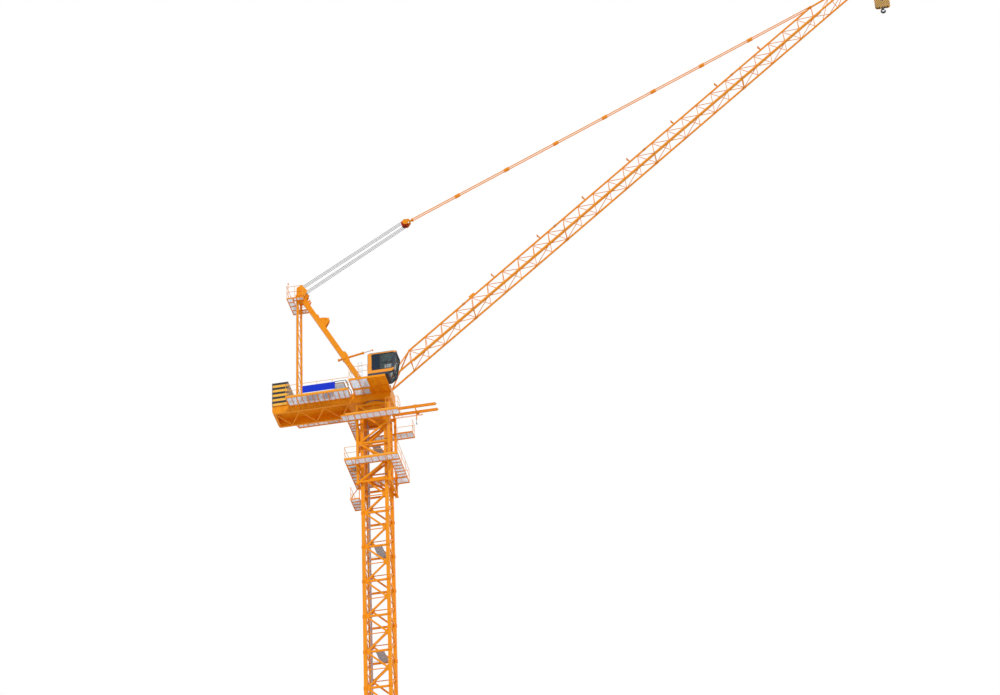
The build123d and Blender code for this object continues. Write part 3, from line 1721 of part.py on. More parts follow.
# Hook block: two cheeks, the sheave between them, and the crosshead that holds the hook
block_bottom = hook_top - hook_block_height
half_block = hook_block_width / 2
cheek_inner = hook_cheek_pitch / 2 - hook_cheek / 2
with BuildPart() as hook_block:
    for side_y in (-1, 1):
        add(
            side_plate(
                (
                    (tip[0] - half_block, hook_top),
                    (tip[0] - half_block, block_bottom + hook_block_corner),
                    (tip[0] - half_block + hook_block_corner, block_bottom),
                    (tip[0] + half_block - hook_block_corner, block_bottom),
                    (tip[0] + half_block, block_bottom + hook_block_corner),
                    (tip[0] + half_block, hook_top),
                ),
                side_y * hook_cheek_pitch / 2 - hook_cheek / 2,
                hook_cheek,
            )
        )
    add(
        tube(
            (tip[0], -cheek_inner, hook_sheave_z),
            (tip[0], cheek_inner, hook_sheave_z),
            tip_axle_radius,
        )
    )
    add(
        tube(
            (tip[0], -hook_sheave_width / 2, hook_sheave_z),
            (tip[0], hook_sheave_width / 2, hook_sheave_z),
            tip_sheave_radius,
        )
    )
    add(
        block(
            (tip[0] - crosshead_length / 2, tip[0] + crosshead_length / 2),
            (-cheek_inner, cheek_inner),
            (block_bottom, block_bottom + crosshead_height),
        )
    )
    for side in (-1, 1):
        shackle_x = tip[0] + side * shackle_place
        add(
            block(
                (shackle_x - 2 * shackle_radius, shackle_x + 2 * shackle_radius),
                (-cheek_inner, cheek_inner),
                (block_bottom, block_bottom + shackle_length),
            )
        )
        add(tube((shackle_x, 0, block_bottom - shackle_length), (shackle_x, 0, block_bottom), shackle_radius))
save(hook_block.part, "hook_block")

# Hook on a shank that turns in the crosshead
shank_top = block_bottom - curved_gap
hook_centre_z = shank_top - hook_shank_length - hook_inner_radius
with BuildPart() as hook:
    with BuildSketch(Plane.XZ):
        with Locations((tip[0], hook_centre_z)):
            Circle(hook_outer_radius)
        with Locations((tip[0], hook_centre_z + hook_inner_shift)):
            Circle(hook_inner_radius, mode=Mode.SUBTRACT)
        with Locations((tip[0] + hook_mouth_out, hook_centre_z + hook_mouth_rise)):
            Rectangle(hook_outer_radius, hook_mouth, mode=Mode.SUBTRACT)
    extrude(amount=hook_thickness / 2, both=True)
    add(
        tube(
            (tip[0], 0, hook_centre_z + hook_inner_radius + hook_inner_shift),
            (tip[0], 0, shank_top),
            hook_shank_radius,
        )
    )
save(hook.part, "hook")
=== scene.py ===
"""Looks of a luffing jib tower crane at 1:2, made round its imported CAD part.

Metres, +Z up, +X the side the jib points to, -Y the side of the operator's cab.
The origin is the centre of the mast's foot.
"""

import math

import bmesh
import bpy
from mathutils import Matrix, Vector


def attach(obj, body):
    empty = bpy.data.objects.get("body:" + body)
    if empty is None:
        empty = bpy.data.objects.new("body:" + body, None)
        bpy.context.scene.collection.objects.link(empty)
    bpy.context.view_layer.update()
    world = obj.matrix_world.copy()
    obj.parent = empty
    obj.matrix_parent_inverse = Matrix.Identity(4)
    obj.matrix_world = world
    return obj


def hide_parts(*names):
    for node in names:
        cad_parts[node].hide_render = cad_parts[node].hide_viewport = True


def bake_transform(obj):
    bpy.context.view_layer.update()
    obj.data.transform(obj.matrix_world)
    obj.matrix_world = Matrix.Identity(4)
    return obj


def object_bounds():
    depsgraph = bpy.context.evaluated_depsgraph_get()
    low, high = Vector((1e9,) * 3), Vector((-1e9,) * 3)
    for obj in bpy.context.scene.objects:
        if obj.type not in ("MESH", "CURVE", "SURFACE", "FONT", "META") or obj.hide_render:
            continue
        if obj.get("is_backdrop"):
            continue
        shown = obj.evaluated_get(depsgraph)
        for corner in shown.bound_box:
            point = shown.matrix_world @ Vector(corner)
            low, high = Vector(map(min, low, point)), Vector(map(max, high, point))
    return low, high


bl_info = {
    "name": "Luffing Jib Tower Crane",
    "version": (1, 0, 0),
    "blender": (4, 5, 0),
    "location": "View3D > Sidebar > Crane",
    "description": "Finishes of a luffing jib tower crane and its fine pieces",
    "category": "Object",
}

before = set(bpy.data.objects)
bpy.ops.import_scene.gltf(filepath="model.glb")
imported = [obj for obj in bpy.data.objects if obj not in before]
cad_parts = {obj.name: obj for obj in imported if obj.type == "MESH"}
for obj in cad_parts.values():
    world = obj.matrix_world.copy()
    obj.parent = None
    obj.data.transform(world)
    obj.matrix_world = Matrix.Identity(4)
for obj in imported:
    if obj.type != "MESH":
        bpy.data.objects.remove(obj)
cad_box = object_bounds()

# Levels and places that the part's source works out, in metres
MAST_BASE = 0.150
SECTION = 1.500
SECTIONS = 9
MAST_HALF = 0.465
CHORD = 0.126
MAST_TOP = MAST_BASE + SECTIONS * SECTION
FRAME_TOP = MAST_TOP + 0.350
FRAME_HEIGHT = 3.561
FRAME_HALF = 0.620
POST_FACE = 0.665
UPPER_DECK = FRAME_TOP - 0.670
UPPER_OUTER = 1.100
UPPER_REAR = -1.000
UPPER_NEAR_REAR = -1.180
UPPER_NEAR_FRONT = 1.110
UPPER_FAR_FRONT = 1.300
MIDDLE_DECK = FRAME_TOP - 2.710
MIDDLE_OUTER = 1.090
MIDDLE_END = 1.050
LOWER_DECK = FRAME_TOP - 4.090
LOWER_REAR = -0.980
LOWER_FRONT = -0.613
LOWER_HALF = 0.430
TROLLEY = 1.600
RING_BASE = MAST_TOP + 0.500
SLEWING_BASE = RING_BASE + 0.070
DECK = SLEWING_BASE + 0.350
WALKWAY = DECK - 0.050
WALKWAY_OUTER = 1.110
WALKWAY_REAR = -3.360
WALKWAY_FRONT = -0.850
GIRDER_OUTER = 0.495
PLATFORM_REAR = -0.700
PLATFORM_OUTER = -1.690
PLATFORM_DIVIDER = -0.965
CABINET_NEAR = -0.430
CABINET_FAR = 0.100
CAB_NEAR = -1.680
CAB_MIDDLE = -1.310
CAB_FAR = -0.940
CAB_FLOOR = 0.037
FRAME_DECK = SLEWING_BASE + 0.650
PIVOT = Vector((0.4425, 0, FRAME_DECK + 0.159))
LUFF = math.radians(39.77)
JIB_WAY = Vector((math.cos(LUFF), 0, math.sin(LUFF)))
JIB_UP = Vector((-math.sin(LUFF), 0, math.cos(LUFF)))
JIB_WIDTH = 0.655
JIB_DEPTH = 0.676
JIB_TIP = 27.300
JIB_JOINTS = 4
FIRST_JOINT = 4.705
JOINT_PITCH = 5.0
ROLLERS = 7
FIRST_ROLLER = 6.4
ROLLER_PITCH = 2.5
TIP_DROP = 0.300
TIP_RADIUS = 0.170
HEAD = Vector((-3.000, 0, PIVOT.z + 5.235))
HEAD_RADIUS = 0.150
HEAD_DECK = HEAD.z - 0.604
HEAD_REAR = -3.460
HEAD_REAR_STRIP = 0.250
HEAD_FRONT = -2.780
HEAD_OUTER = 0.580
HEAD_STRIP = 0.240
REAR_LEG = -3.068
LEG_HEAD = Vector((-2.900, 0, HEAD.z - 0.400))
LEG_FOOT = Vector((-0.290, 0, FRAME_DECK + 0.130))
BACKSTOP_SLOPE = math.radians(10.9)
BACKSTOP_START = Vector((-0.450, 0, PIVOT.z + 1.857))
BACKSTOP_MOUTH = BACKSTOP_START.x * math.cos(BACKSTOP_SLOPE) + BACKSTOP_START.z * math.sin(BACKSTOP_SLOPE)
BLOCK_PIN = HEAD + Vector((4.650, 0, 2.840))
BLOCK_SLOPE = math.radians(25.7)
BLOCK_WAY = Vector((math.cos(BLOCK_SLOPE), 0, math.sin(BLOCK_SLOPE)))
BLOCK_SHEAVE = BLOCK_PIN - BLOCK_WAY * 0.355
BLOCK_RADIUS = 0.120
ROPE = 0.018
SHEAVE_PITCH = 0.080
TIP = PIVOT + JIB_WAY * JIB_TIP - JIB_UP * TIP_DROP
HOOK_TOP = TIP.z - 1.217
BLOCK_BOTTOM = HOOK_TOP - 0.560
HOOK_SHEAVE = HOOK_TOP - 0.190

# Sizes of the fine pieces that several operators share, in metres
DECK_DEPTH = 0.050
TOE_BOARD = 0.055
TOE_SHEET = 0.003
STAY = 0.030
HOOP = 0.014
RING_TEETH = 108
ROPE_STRANDS = 6
ROPE_STEPS = 16

# Values of the meshes and of the picture
ACROSS = (0.0, 1.0, 0.0)
PARALLEL = 1e-6
SHARP_DEGREES = 35
SENSOR = 36.0
WHITE = (1.0, 1.0, 1.0, 1.0)


class Value:
    """A socket of a node tree, to which Python's operators add maths nodes."""

    def __init__(self, owner, socket):
        self.owner = owner
        self.socket = socket

    def maths(self, operation, first, second=0.0):
        return self.owner.node("ShaderNodeMath", {"operation": operation}, {0: first, 1: second})

    def __add__(self, other):
        return self.maths("ADD", self, other)

    def __sub__(self, other):
        return self.maths("SUBTRACT", self, other)

    def __rsub__(self, other):
        return self.maths("SUBTRACT", other, self)

    def __mul__(self, other):
        return self.maths("MULTIPLY", self, other)

    def __truediv__(self, other):
        return self.maths("DIVIDE", self, other)

    def __mod__(self, other):
        return self.maths("FLOORED_MODULO", self, other)

    def __gt__(self, other):
        return self.maths("GREATER_THAN", self, other)

    def __lt__(self, other):
        return self.maths("LESS_THAN", self, other)

    def __abs__(self):
        return self.maths("ABSOLUTE", self)

    def __round__(self):
        return self.maths("ROUND", self)

    __radd__ = __add__
    __rmul__ = __mul__


class Tree:
    """A node tree that is built node by node."""

    def node(self, kind, settings=None, inputs=None, output=0):
        """Adds a node, sets it up, feeds its inputs and returns one of its outputs."""
        made = self.tree.nodes.new(kind)
        for key, value in (settings or {}).items():
            setattr(made, key, value)
        for key, value in (inputs or {}).items():
            for one in value if isinstance(value, list) else [value]:
                if isinstance(one, Value):
                    self.tree.links.new(one.socket, made.inputs[key])
                else:
                    made.inputs[key].default_value = one
        return Value(self, made.outputs[output]) if made.outputs else None

    def split(self, vector):
        """X, Y and Z of a vector, one value each."""
        return [self.node("ShaderNodeSeparateXYZ", None, {0: vector}, axis) for axis in range(3)]


class Finish(Tree):
    """The tree of a procedural material, or of the world's light."""

    def __init__(self, name, kind="materials"):
        self.block = getattr(bpy.data, kind).new(name)
        self.block.use_nodes = True
        self.tree = self.block.node_tree
        self.tree.nodes.clear()

    def place(self):
        """Object coordinates, which are the model's own metres."""
        return self.node("ShaderNodeTexCoord", output="Object")

    def axes(self):
        """X, Y and Z of the place, one value each."""
        return self.split(self.place())

    def noise(self, scale, detail=3.0, stretch=(1.0, 1.0, 1.0)):
        """Noise between 0 and 1 at a number of blotches a metre."""
        placed = self.node("ShaderNodeMapping", None, {"Vector": self.place(), "Scale": stretch})
        return self.node("ShaderNodeTexNoise", None, {"Vector": placed, "Scale": scale, "Detail": detail})

    def cells(self, scale, output="Distance"):
        """Cells of a crystalline or chipped surface."""
        return self.node("ShaderNodeTexVoronoi", None, {"Vector": self.place(), "Scale": scale}, output)

    def ramp(self, value, low, high):
        """A value spread from 0 at low to 1 at high, and held there."""
        return self.node("ShaderNodeMapRange", {"clamp": True}, {0: value, 1: low, 2: high, 3: 0.0, 4: 1.0})

    def mix(self, factor, first, second):
        """One colour where the factor is 0, the other where it is 1."""
        return self.node("ShaderNodeMix", {"data_type": "RGBA"}, {0: factor, 6: first, 7: second}, 2)

    def bump(self, height, distance, strength=1.0):
        """The normal of a surface with that height, in metres."""
        inputs = {"Height": height, "Distance": distance, "Strength": strength}
        return self.node("ShaderNodeBump", None, inputs, "Normal")

    def surface(self, colour, roughness, **sockets):
        """Ends the tree in a Principled surface and returns the material."""
        inputs = {"Base Color": colour, "Roughness": roughness}
        inputs.update({key.replace("_", " "): value for key, value in sockets.items()})
        shader = self.node("ShaderNodeBsdfPrincipled", None, inputs)
        self.node("ShaderNodeOutputMaterial", None, {"Surface": shader})
        return self.block


def colour_of(values, share=1.0):
    """A colour property as the four numbers of a socket, made darker or lighter by the share."""
    return (values[0] * share, values[1] * share, values[2] * share, 1.0)


def colour_property(name, description, default):
    """A colour that the panel shows."""
    return bpy.props.FloatVectorProperty(
        name=name, description=description, subtype="COLOR", size=3, default=default
    )


def size_property(name, description, default, unit="LENGTH"):
    """A size that the panel shows."""
    return bpy.props.FloatProperty(name=name, description=description, default=default, unit=unit)


class CraneFinishes(bpy.types.PropertyGroup):
    """Colours of the crane's finishes."""

    paint: colour_property("Paint", "Paint of the steelwork", (0.93, 0.315, 0.004))
    rail_paint: colour_property("Rail paint", "Paint of handrails and thin bars", (0.94, 0.42, 0.06))
    # Pale blue zinc of the gratings: partly the zinc's own colour and partly painted sky light, a brighter,
    # bluer colour that stands in for sky seen through the gratings and lighting them.
    zinc_and_sky_light: colour_property("Zinc", "Galvanised gratings", (0.74, 0.85, 0.98))
    skirt: colour_property("Cab skirt", "Dark lower panels of the cab", (0.008, 0.022, 0.045))
    stripe_yellow: colour_property(
        "Stripe yellow", "Light bands of the counterweight and hook block", (0.93, 0.48, 0.04)
    )
    stripe_black: colour_property(
        "Stripe black", "Dark bands of the counterweight and hook block", (0.003, 0.004, 0.010)
    )
    cabinet: colour_property("Cabinet", "Paint of the electrical cabinet", (0.56, 0.58, 0.62))
    rope: colour_property("Rope", "Greased wire rope", (0.022, 0.021, 0.022))
    glass: colour_property("Glass", "Tinted cab glass", (0.10, 0.16, 0.17))


class CraneSizes(bpy.types.PropertyGroup):
    """Sizes of the crane's fine pieces."""

    grating_pitch: size_property("Grating pitch", "Between two bearing bars", 0.019)
    grating_bar: size_property("Grating bar", "Thickness of a bearing bar", 0.0022)
    grating_cross_pitch: size_property("Cross bar pitch", "Between two cross bars of a grating", 0.050)
    bolt: size_property("Bolt", "Across the corners of a structural bolt's head", 0.026)
    lay: size_property("Rope lay", "Length of one turn of a rope's strands", 0.095)
    lens: size_property("Lens", "Focal length on a 36 mm sensor, in millimetres", 107.83, "NONE")


# Painted and bare finishes


def painted(name, colour, dirt=0.35, scale=1.0):
    """Weathered paint on steel: faded patches, dirt that runs down, a few chips and fine orange peel."""
    finish = Finish(name)
    patches = finish.noise(1.7 * scale, 4.0)
    runs = finish.noise(9.0 * scale, 4.0, stretch=(1.0, 1.0, 0.08))
    grime = finish.ramp(runs * 0.6 + patches * 0.4, 0.52, 0.72) * dirt
    faded = finish.mix(finish.ramp(patches, 0.3, 0.7), colour_of(colour, 0.93), colour_of(colour, 1.0))
    dirty = finish.mix(grime, faded, (colour[0] * 0.42, colour[1] * 0.36, colour[2] * 0.5 + 0.01, 1.0))
    chips = finish.ramp(finish.noise(38.0 * scale, 2.0), 0.735, 0.755)
    chipped = finish.mix(chips, dirty, (0.16, 0.055, 0.025, 1.0))
    peel = finish.noise(420.0, 2.0) * 0.12 + finish.noise(7.0, 3.0) * 0.5 - chips * 0.6
    roughness = finish.ramp(patches, 0.2, 0.8) * 0.16 + grime * 0.3 + 0.34
    normal = finish.bump(peel, 0.0009, 0.6)
    return finish.surface(chipped, roughness, Normal=normal, Specular_IOR_Level=0.18)


def galvanised(name, colour):
    """Zinc with its spangle, greyer where it has weathered."""
    finish = Finish(name)
    spangle = finish.node("ShaderNodeSeparateColor", None, {0: finish.cells(160.0, "Color")})
    weather = finish.ramp(finish.noise(5.0, 4.0), 0.35, 0.7)
    zinc_and_sky_light = finish.mix(spangle * 0.35, colour_of(colour, 1.0), colour_of(colour, 0.76))
    weathered = finish.mix(weather * 0.22, zinc_and_sky_light, (0.40, 0.30, 0.22, 1.0))
    roughness = spangle * 0.15 + weather * 0.2 + 0.40
    return finish.surface(weathered, roughness, Metallic=0.05, Normal=finish.bump(spangle, 0.0004, 0.4))


def ballast_bands(name, light, dark):
    """Counterweight slabs: a dark band along the top of each, a light one below, bare steel at the ends."""
    finish = Finish(name)
    _, y, z = finish.axes()
    slab = ((z - DECK) % 0.214) / 0.214
    wobble = finish.noise(14.0, 3.0) * 0.03
    band = finish.ramp(slab + wobble, 0.515, 0.53)
    worn = finish.ramp(finish.noise(30.0, 5.0), 0.60, 0.72)
    stripes = finish.mix(band, colour_of(light), colour_of(dark))
    dusty = finish.mix(worn * 0.25, stripes, (0.19, 0.12, 0.06, 1.0))
    side = abs(y) > 0.532
    iron = finish.mix(finish.noise(11.0, 4.0), (0.30, 0.17, 0.07, 1.0), (0.46, 0.30, 0.13, 1.0))
    roughness = finish.noise(20.0, 2.0) * 0.2 + 0.4
    normal = finish.bump(finish.noise(60.0, 4.0), 0.003, 0.5)
    return finish.surface(finish.mix(side, iron, dusty), roughness, Normal=normal)


def hazard_bands(name, light, dark):
    """Diagonal bands of the hook block."""
    finish = Finish(name)
    x, _, z = finish.axes()
    diagonal = ((x - z * 0.9) % 0.104) / 0.104
    edge = finish.ramp(finish.noise(18.0, 3.0), 0.62, 0.7)
    stripes = finish.mix(finish.ramp(diagonal, 0.44, 0.46), colour_of(light), colour_of(dark))
    worn = finish.mix(edge * 0.4, stripes, (0.10, 0.07, 0.05, 1.0))
    roughness = finish.noise(25.0, 2.0) * 0.2 + 0.35
    return finish.surface(worn, roughness, Normal=finish.bump(finish.noise(90.0, 3.0), 0.002, 0.4))


def wire(name, colour):
    """Greased steel wire, with dry and shiny stretches."""
    finish = Finish(name)
    grease = finish.ramp(finish.noise(6.0, 4.0), 0.35, 0.7)
    shade = finish.mix(grease, colour_of(colour, 1.35), colour_of(colour, 0.75))
    normal = finish.bump(finish.noise(900.0, 1.0), 0.0006, 0.6)
    return finish.surface(shade, 0.78 - grease * 0.2, Metallic=0.0, Specular_IOR_Level=0.12, Normal=normal)


def forged(name, colour):
    """Forged or cast steel under thin black paint."""
    finish = Finish(name)
    scale = finish.noise(55.0, 5.0)
    rub = finish.ramp(finish.noise(12.0, 3.0), 0.6, 0.72)
    shade = finish.mix(rub * 0.6, colour_of(colour), (0.17, 0.16, 0.155, 1.0))
    return finish.surface(shade, 0.55 - rub * 0.2, Metallic=0.3, Normal=finish.bump(scale, 0.0012, 0.7))


def chromed(name, orange):
    """The backstop's plated rod, with its head in paint."""
    finish = Finish(name)
    x, _, z = finish.axes()
    along = x * math.cos(BACKSTOP_SLOPE) + z * math.sin(BACKSTOP_SLOPE)
    head = along > BACKSTOP_MOUTH + 0.295
    smear = finish.ramp(finish.noise(18.0, 3.0), 0.45, 0.7)
    plated = finish.mix(smear * 0.5, (0.62, 0.60, 0.66, 1.0), (0.34, 0.31, 0.33, 1.0))
    shade = finish.mix(head, plated, colour_of(orange))
    normal = finish.bump(finish.noise(70.0, 2.0), 0.0003, 0.3)
    return finish.surface(shade, smear * 0.2 + head * 0.2 + 0.2, Metallic=0.35, Normal=normal)


def cab_panels(name, orange, navy):
    """The cab's shell: an orange band, sill and rear post over a dark skirt and roof."""
    finish = Finish(name)
    x, y, z = finish.axes()
    rise = z - DECK
    sill = (rise > 0.105) * (rise < 0.255)
    head = (rise > 0.955) * (rise < 1.035)
    post = (x > 0.075) * (x < 0.215) * (rise > 0.105) * (rise < 1.035)
    side = abs(y - CAB_MIDDLE) > 0.36
    trim = finish.node("ShaderNodeClamp", None, {0: (sill + head + post) * side})
    dust = finish.ramp(finish.noise(6.0, 4.0), 0.45, 0.75)
    paint = finish.mix(dust * 0.3, colour_of(orange), colour_of(orange, 0.7))
    skirt = finish.mix(dust * 0.25, colour_of(navy), (0.05, 0.06, 0.07, 1.0))
    normal = finish.bump(finish.noise(300.0, 2.0), 0.0004, 0.5)
    return finish.surface(finish.mix(trim, skirt, paint), dust * 0.2 + 0.28, Normal=normal, Coat_Weight=0.2)


def tinted_glass(name, colour):
    """Dark glass that mirrors the sky, with a faint film of dust."""
    finish = Finish(name)
    dust = finish.ramp(finish.noise(5.0, 5.0), 0.45, 0.8)
    shade = finish.mix(dust * 0.35, colour_of(colour), (0.16, 0.21, 0.22, 1.0))
    normal = finish.bump(finish.noise(3.0, 1.0), 0.0004, 0.1)
    return finish.surface(shade, dust * 0.12 + 0.03, Alpha=dust * 0.14 + 0.26, Normal=normal)


def plain_plastic(name, colour, roughness=0.5):
    """Moulded or sprayed surface with a fine grain."""
    finish = Finish(name)
    grain = finish.noise(260.0, 3.0)
    shade = finish.mix(finish.noise(12.0, 3.0) * 0.4, colour_of(colour), colour_of(colour, 0.7))
    return finish.surface(shade, grain * 0.15 + (roughness - 0.07), Normal=finish.bump(grain, 0.0004, 0.6))


def finish_named(name, maker=None, *values):
    """A material of the scene by name, made the first time it is asked for."""
    return bpy.data.materials.get(name) or maker(name, *values)


# Geometry Nodes


class Grower(Tree):
    """A Geometry Nodes tree with named inputs, whose result is taken as a plain mesh."""

    def __init__(self, title, **inputs):
        self.tree = bpy.data.node_groups.new(title, "GeometryNodeTree")
        face = self.tree.interface
        face.new_socket(name="Geometry", in_out="OUTPUT", socket_type="NodeSocketGeometry")
        self.sockets = {}
        for key, kind in (*inputs.items(), ("Material", "Material")):
            name, kind = key.replace("_", " "), f"NodeSocket{kind}"
            self.sockets[key] = face.new_socket(name=name, in_out="INPUT", socket_type=kind)
        self.group_in = self.tree.nodes.new("NodeGroupInput")
        self.group_out = self.tree.nodes.new("NodeGroupOutput")

    def input(self, key):
        """An input of the tree, as a value for a node."""
        return Value(self, self.group_in.outputs[self.sockets[key].name])

    def inputs(self, *keys):
        """Several inputs of the tree."""
        return [self.input(key) for key in keys]

    def shape_of(self, key):
        """The geometry of an object that is an input."""
        return self.node("GeometryNodeObjectInfo", None, {"Object": self.input(key)}, "Geometry")

    def vectors(self, operation, first, second, slot=1):
        """Vector maths; the slot is that of the second value."""
        return self.node("ShaderNodeVectorMath", {"operation": operation}, {0: first, slot: second})

    def vector(self, sizes):
        """A vector from the values of some of its axes."""
        return self.node("ShaderNodeCombineXYZ", None, sizes)

    def ring(self, sides, radius):
        """A circle as a curve."""
        inputs = {"Resolution": sides, "Radius": radius}
        return self.node("GeometryNodeCurvePrimitiveCircle", {"mode": "RADIUS"}, inputs)

    def swept(self, curve, outline):
        """A closed solid along a curve."""
        inputs = {"Curve": curve, "Profile Curve": outline, "Fill Caps": True}
        return self.node("GeometryNodeCurveToMesh", None, inputs)

    def copies(self, points, instance, **inputs):
        """Copies of a geometry on points."""
        inputs.update(Points=points, Instance=instance)
        return self.node("GeometryNodeInstanceOnPoints", None, inputs)

    def end(self, geometry):
        """Realizes the instances, gives them their material and closes the tree."""
        real = self.node("GeometryNodeRealizeInstances", None, {0: geometry})
        inputs = {"Geometry": real, "Material": self.input("Material")}
        done = self.node("GeometryNodeSetMaterial", None, inputs)
        self.tree.links.new(done.socket, self.group_out.inputs[0])
        return self

    def grow(self, **values):
        """The tree's result for these inputs, as a mesh."""
        seed = bpy.data.objects.new("seed", bpy.data.meshes.new("seed"))
        bpy.context.collection.objects.link(seed)
        modifier = seed.modifiers.new("grower", "NODES")
        modifier.node_group = self.tree
        for key, value in values.items():
            modifier[self.sockets[key].identifier] = value
        bpy.context.view_layer.update()
        evaluated = seed.evaluated_get(bpy.context.evaluated_depsgraph_get())
        mesh = bpy.data.meshes.new_from_object(evaluated)
        bpy.data.objects.remove(seed)
        return mesh


def stud_grower():
    """Copies of a piece on the points of a mesh, its Z turned to each point's facing."""
    grower = Grower("Pieces at places", Places="Object", Piece="Object")
    facing = grower.node("GeometryNodeInputNamedAttribute", {"data_type": "FLOAT_VECTOR"}, {"Name": "facing"})
    turn = grower.node("FunctionNodeAlignRotationToVector", {"axis": "Z"}, {"Vector": facing})
    return grower.end(grower.copies(grower.shape_of("Places"), grower.shape_of("Piece"), Rotation=turn))


def grating_grower():
    """A bar grating in a box: upright bearing bars along X, and thin cross bars on their tops."""
    grower = Grower(
        "Bar grating", Low="Vector", High="Vector", Pitch="Float", Bar="Float", Cross_pitch="Float"
    )
    low, high, pitch, bar, cross_pitch = grower.inputs("Low", "High", "Pitch", "Bar", "Cross_pitch")
    middle = grower.vectors("SCALE", grower.vectors("ADD", high, low), 0.5, "Scale")
    length, width, depth = grower.split(grower.vectors("SUBTRACT", high, low))
    rows = []
    for run, across, step_wanted, bar_depth, axis in (
        (width, length, pitch, depth, 1),
        (length, width, cross_pitch, bar, 0),
    ):
        count = round(run / step_wanted)
        inputs = {
            "Count": count + 1.0,
            "Start Location": grower.vector({axis: (run - bar) * -0.5, 2: (depth - bar_depth) * 0.5}),
            "Offset": grower.vector({axis: (run - bar) / count}),
        }
        line = grower.node("GeometryNodeMeshLine", {"mode": "OFFSET"}, inputs)
        size = grower.vector({axis: bar, 1 - axis: across, 2: bar_depth})
        rows.append(grower.copies(line, grower.node("GeometryNodeMeshCube", None, {"Size": size})))
    both = grower.node("GeometryNodeJoinGeometry", None, {0: rows})
    return grower.end(grower.node("GeometryNodeTransform", None, {"Geometry": both, "Translation": middle}))


def rope_grower():
    """A stranded rope along a straight line: a lobed outline that turns with the lay."""
    grower = Grower(
        "Stranded rope",
        Start="Vector",
        End="Vector",
        Radius="Float",
        Turns="Float",
        Steps="Int",
        Strands="Int",
    )
    start, end, radius = grower.inputs("Start", "End", "Radius")
    turns, steps, strands = grower.inputs("Turns", "Steps", "Strands")
    line = grower.node("GeometryNodeCurvePrimitiveLine", None, {"Start": start, "End": end})
    fine = grower.node("GeometryNodeResampleCurve", None, {"Curve": line, "Count": steps})
    share = grower.node("GeometryNodeSplineParameter", output="Factor")
    tilt = share * turns * (2 * math.pi)
    laid = grower.node("GeometryNodeSetCurveTilt", None, {"Curve": fine, "Tilt": tilt})
    index = grower.node("GeometryNodeInputIndex")
    valley = index.maths("MODULO", index, 2.0)
    place = grower.vectors("SCALE", grower.node("GeometryNodeInputPosition"), 1.0 - valley * 0.13, "Scale")
    inputs = {"Geometry": grower.ring(strands * 2.0, radius), "Position": place}
    return grower.end(grower.swept(laid, grower.node("GeometryNodeSetPosition", None, inputs)))


def winding_grower():
    """Rope wound on a drum, one layer of even turns about the drum's Y axis."""
    grower = Grower(
        "Drum winding", Centre="Vector", Radius="Float", Width="Float", Turns="Float", Rope_radius="Float"
    )
    centre, radius, width, turns = grower.inputs("Centre", "Radius", "Width", "Turns")
    rope_radius = grower.input("Rope_radius")
    inputs = {
        "Resolution": 20,
        "Rotations": turns,
        "Start Radius": radius,
        "End Radius": radius,
        "Height": width,
    }
    spiral = grower.node("GeometryNodeCurveSpiral", None, inputs)
    inputs = {
        "Geometry": grower.swept(spiral, grower.ring(6, rope_radius)),
        "Rotation": (math.pi / 2, 0.0, 0.0),
        "Translation": grower.vector({1: width * 0.5}),
    }
    laid = grower.node("GeometryNodeTransform", None, inputs)
    return grower.end(grower.node("GeometryNodeTransform", None, {"Geometry": laid, "Translation": centre}))


growers = {}


def grower_named(maker):
    """A Geometry Nodes tree of this file, built the first time it is asked for."""
    if maker not in growers:
        growers[maker] = maker()
    return growers[maker]


# Meshes


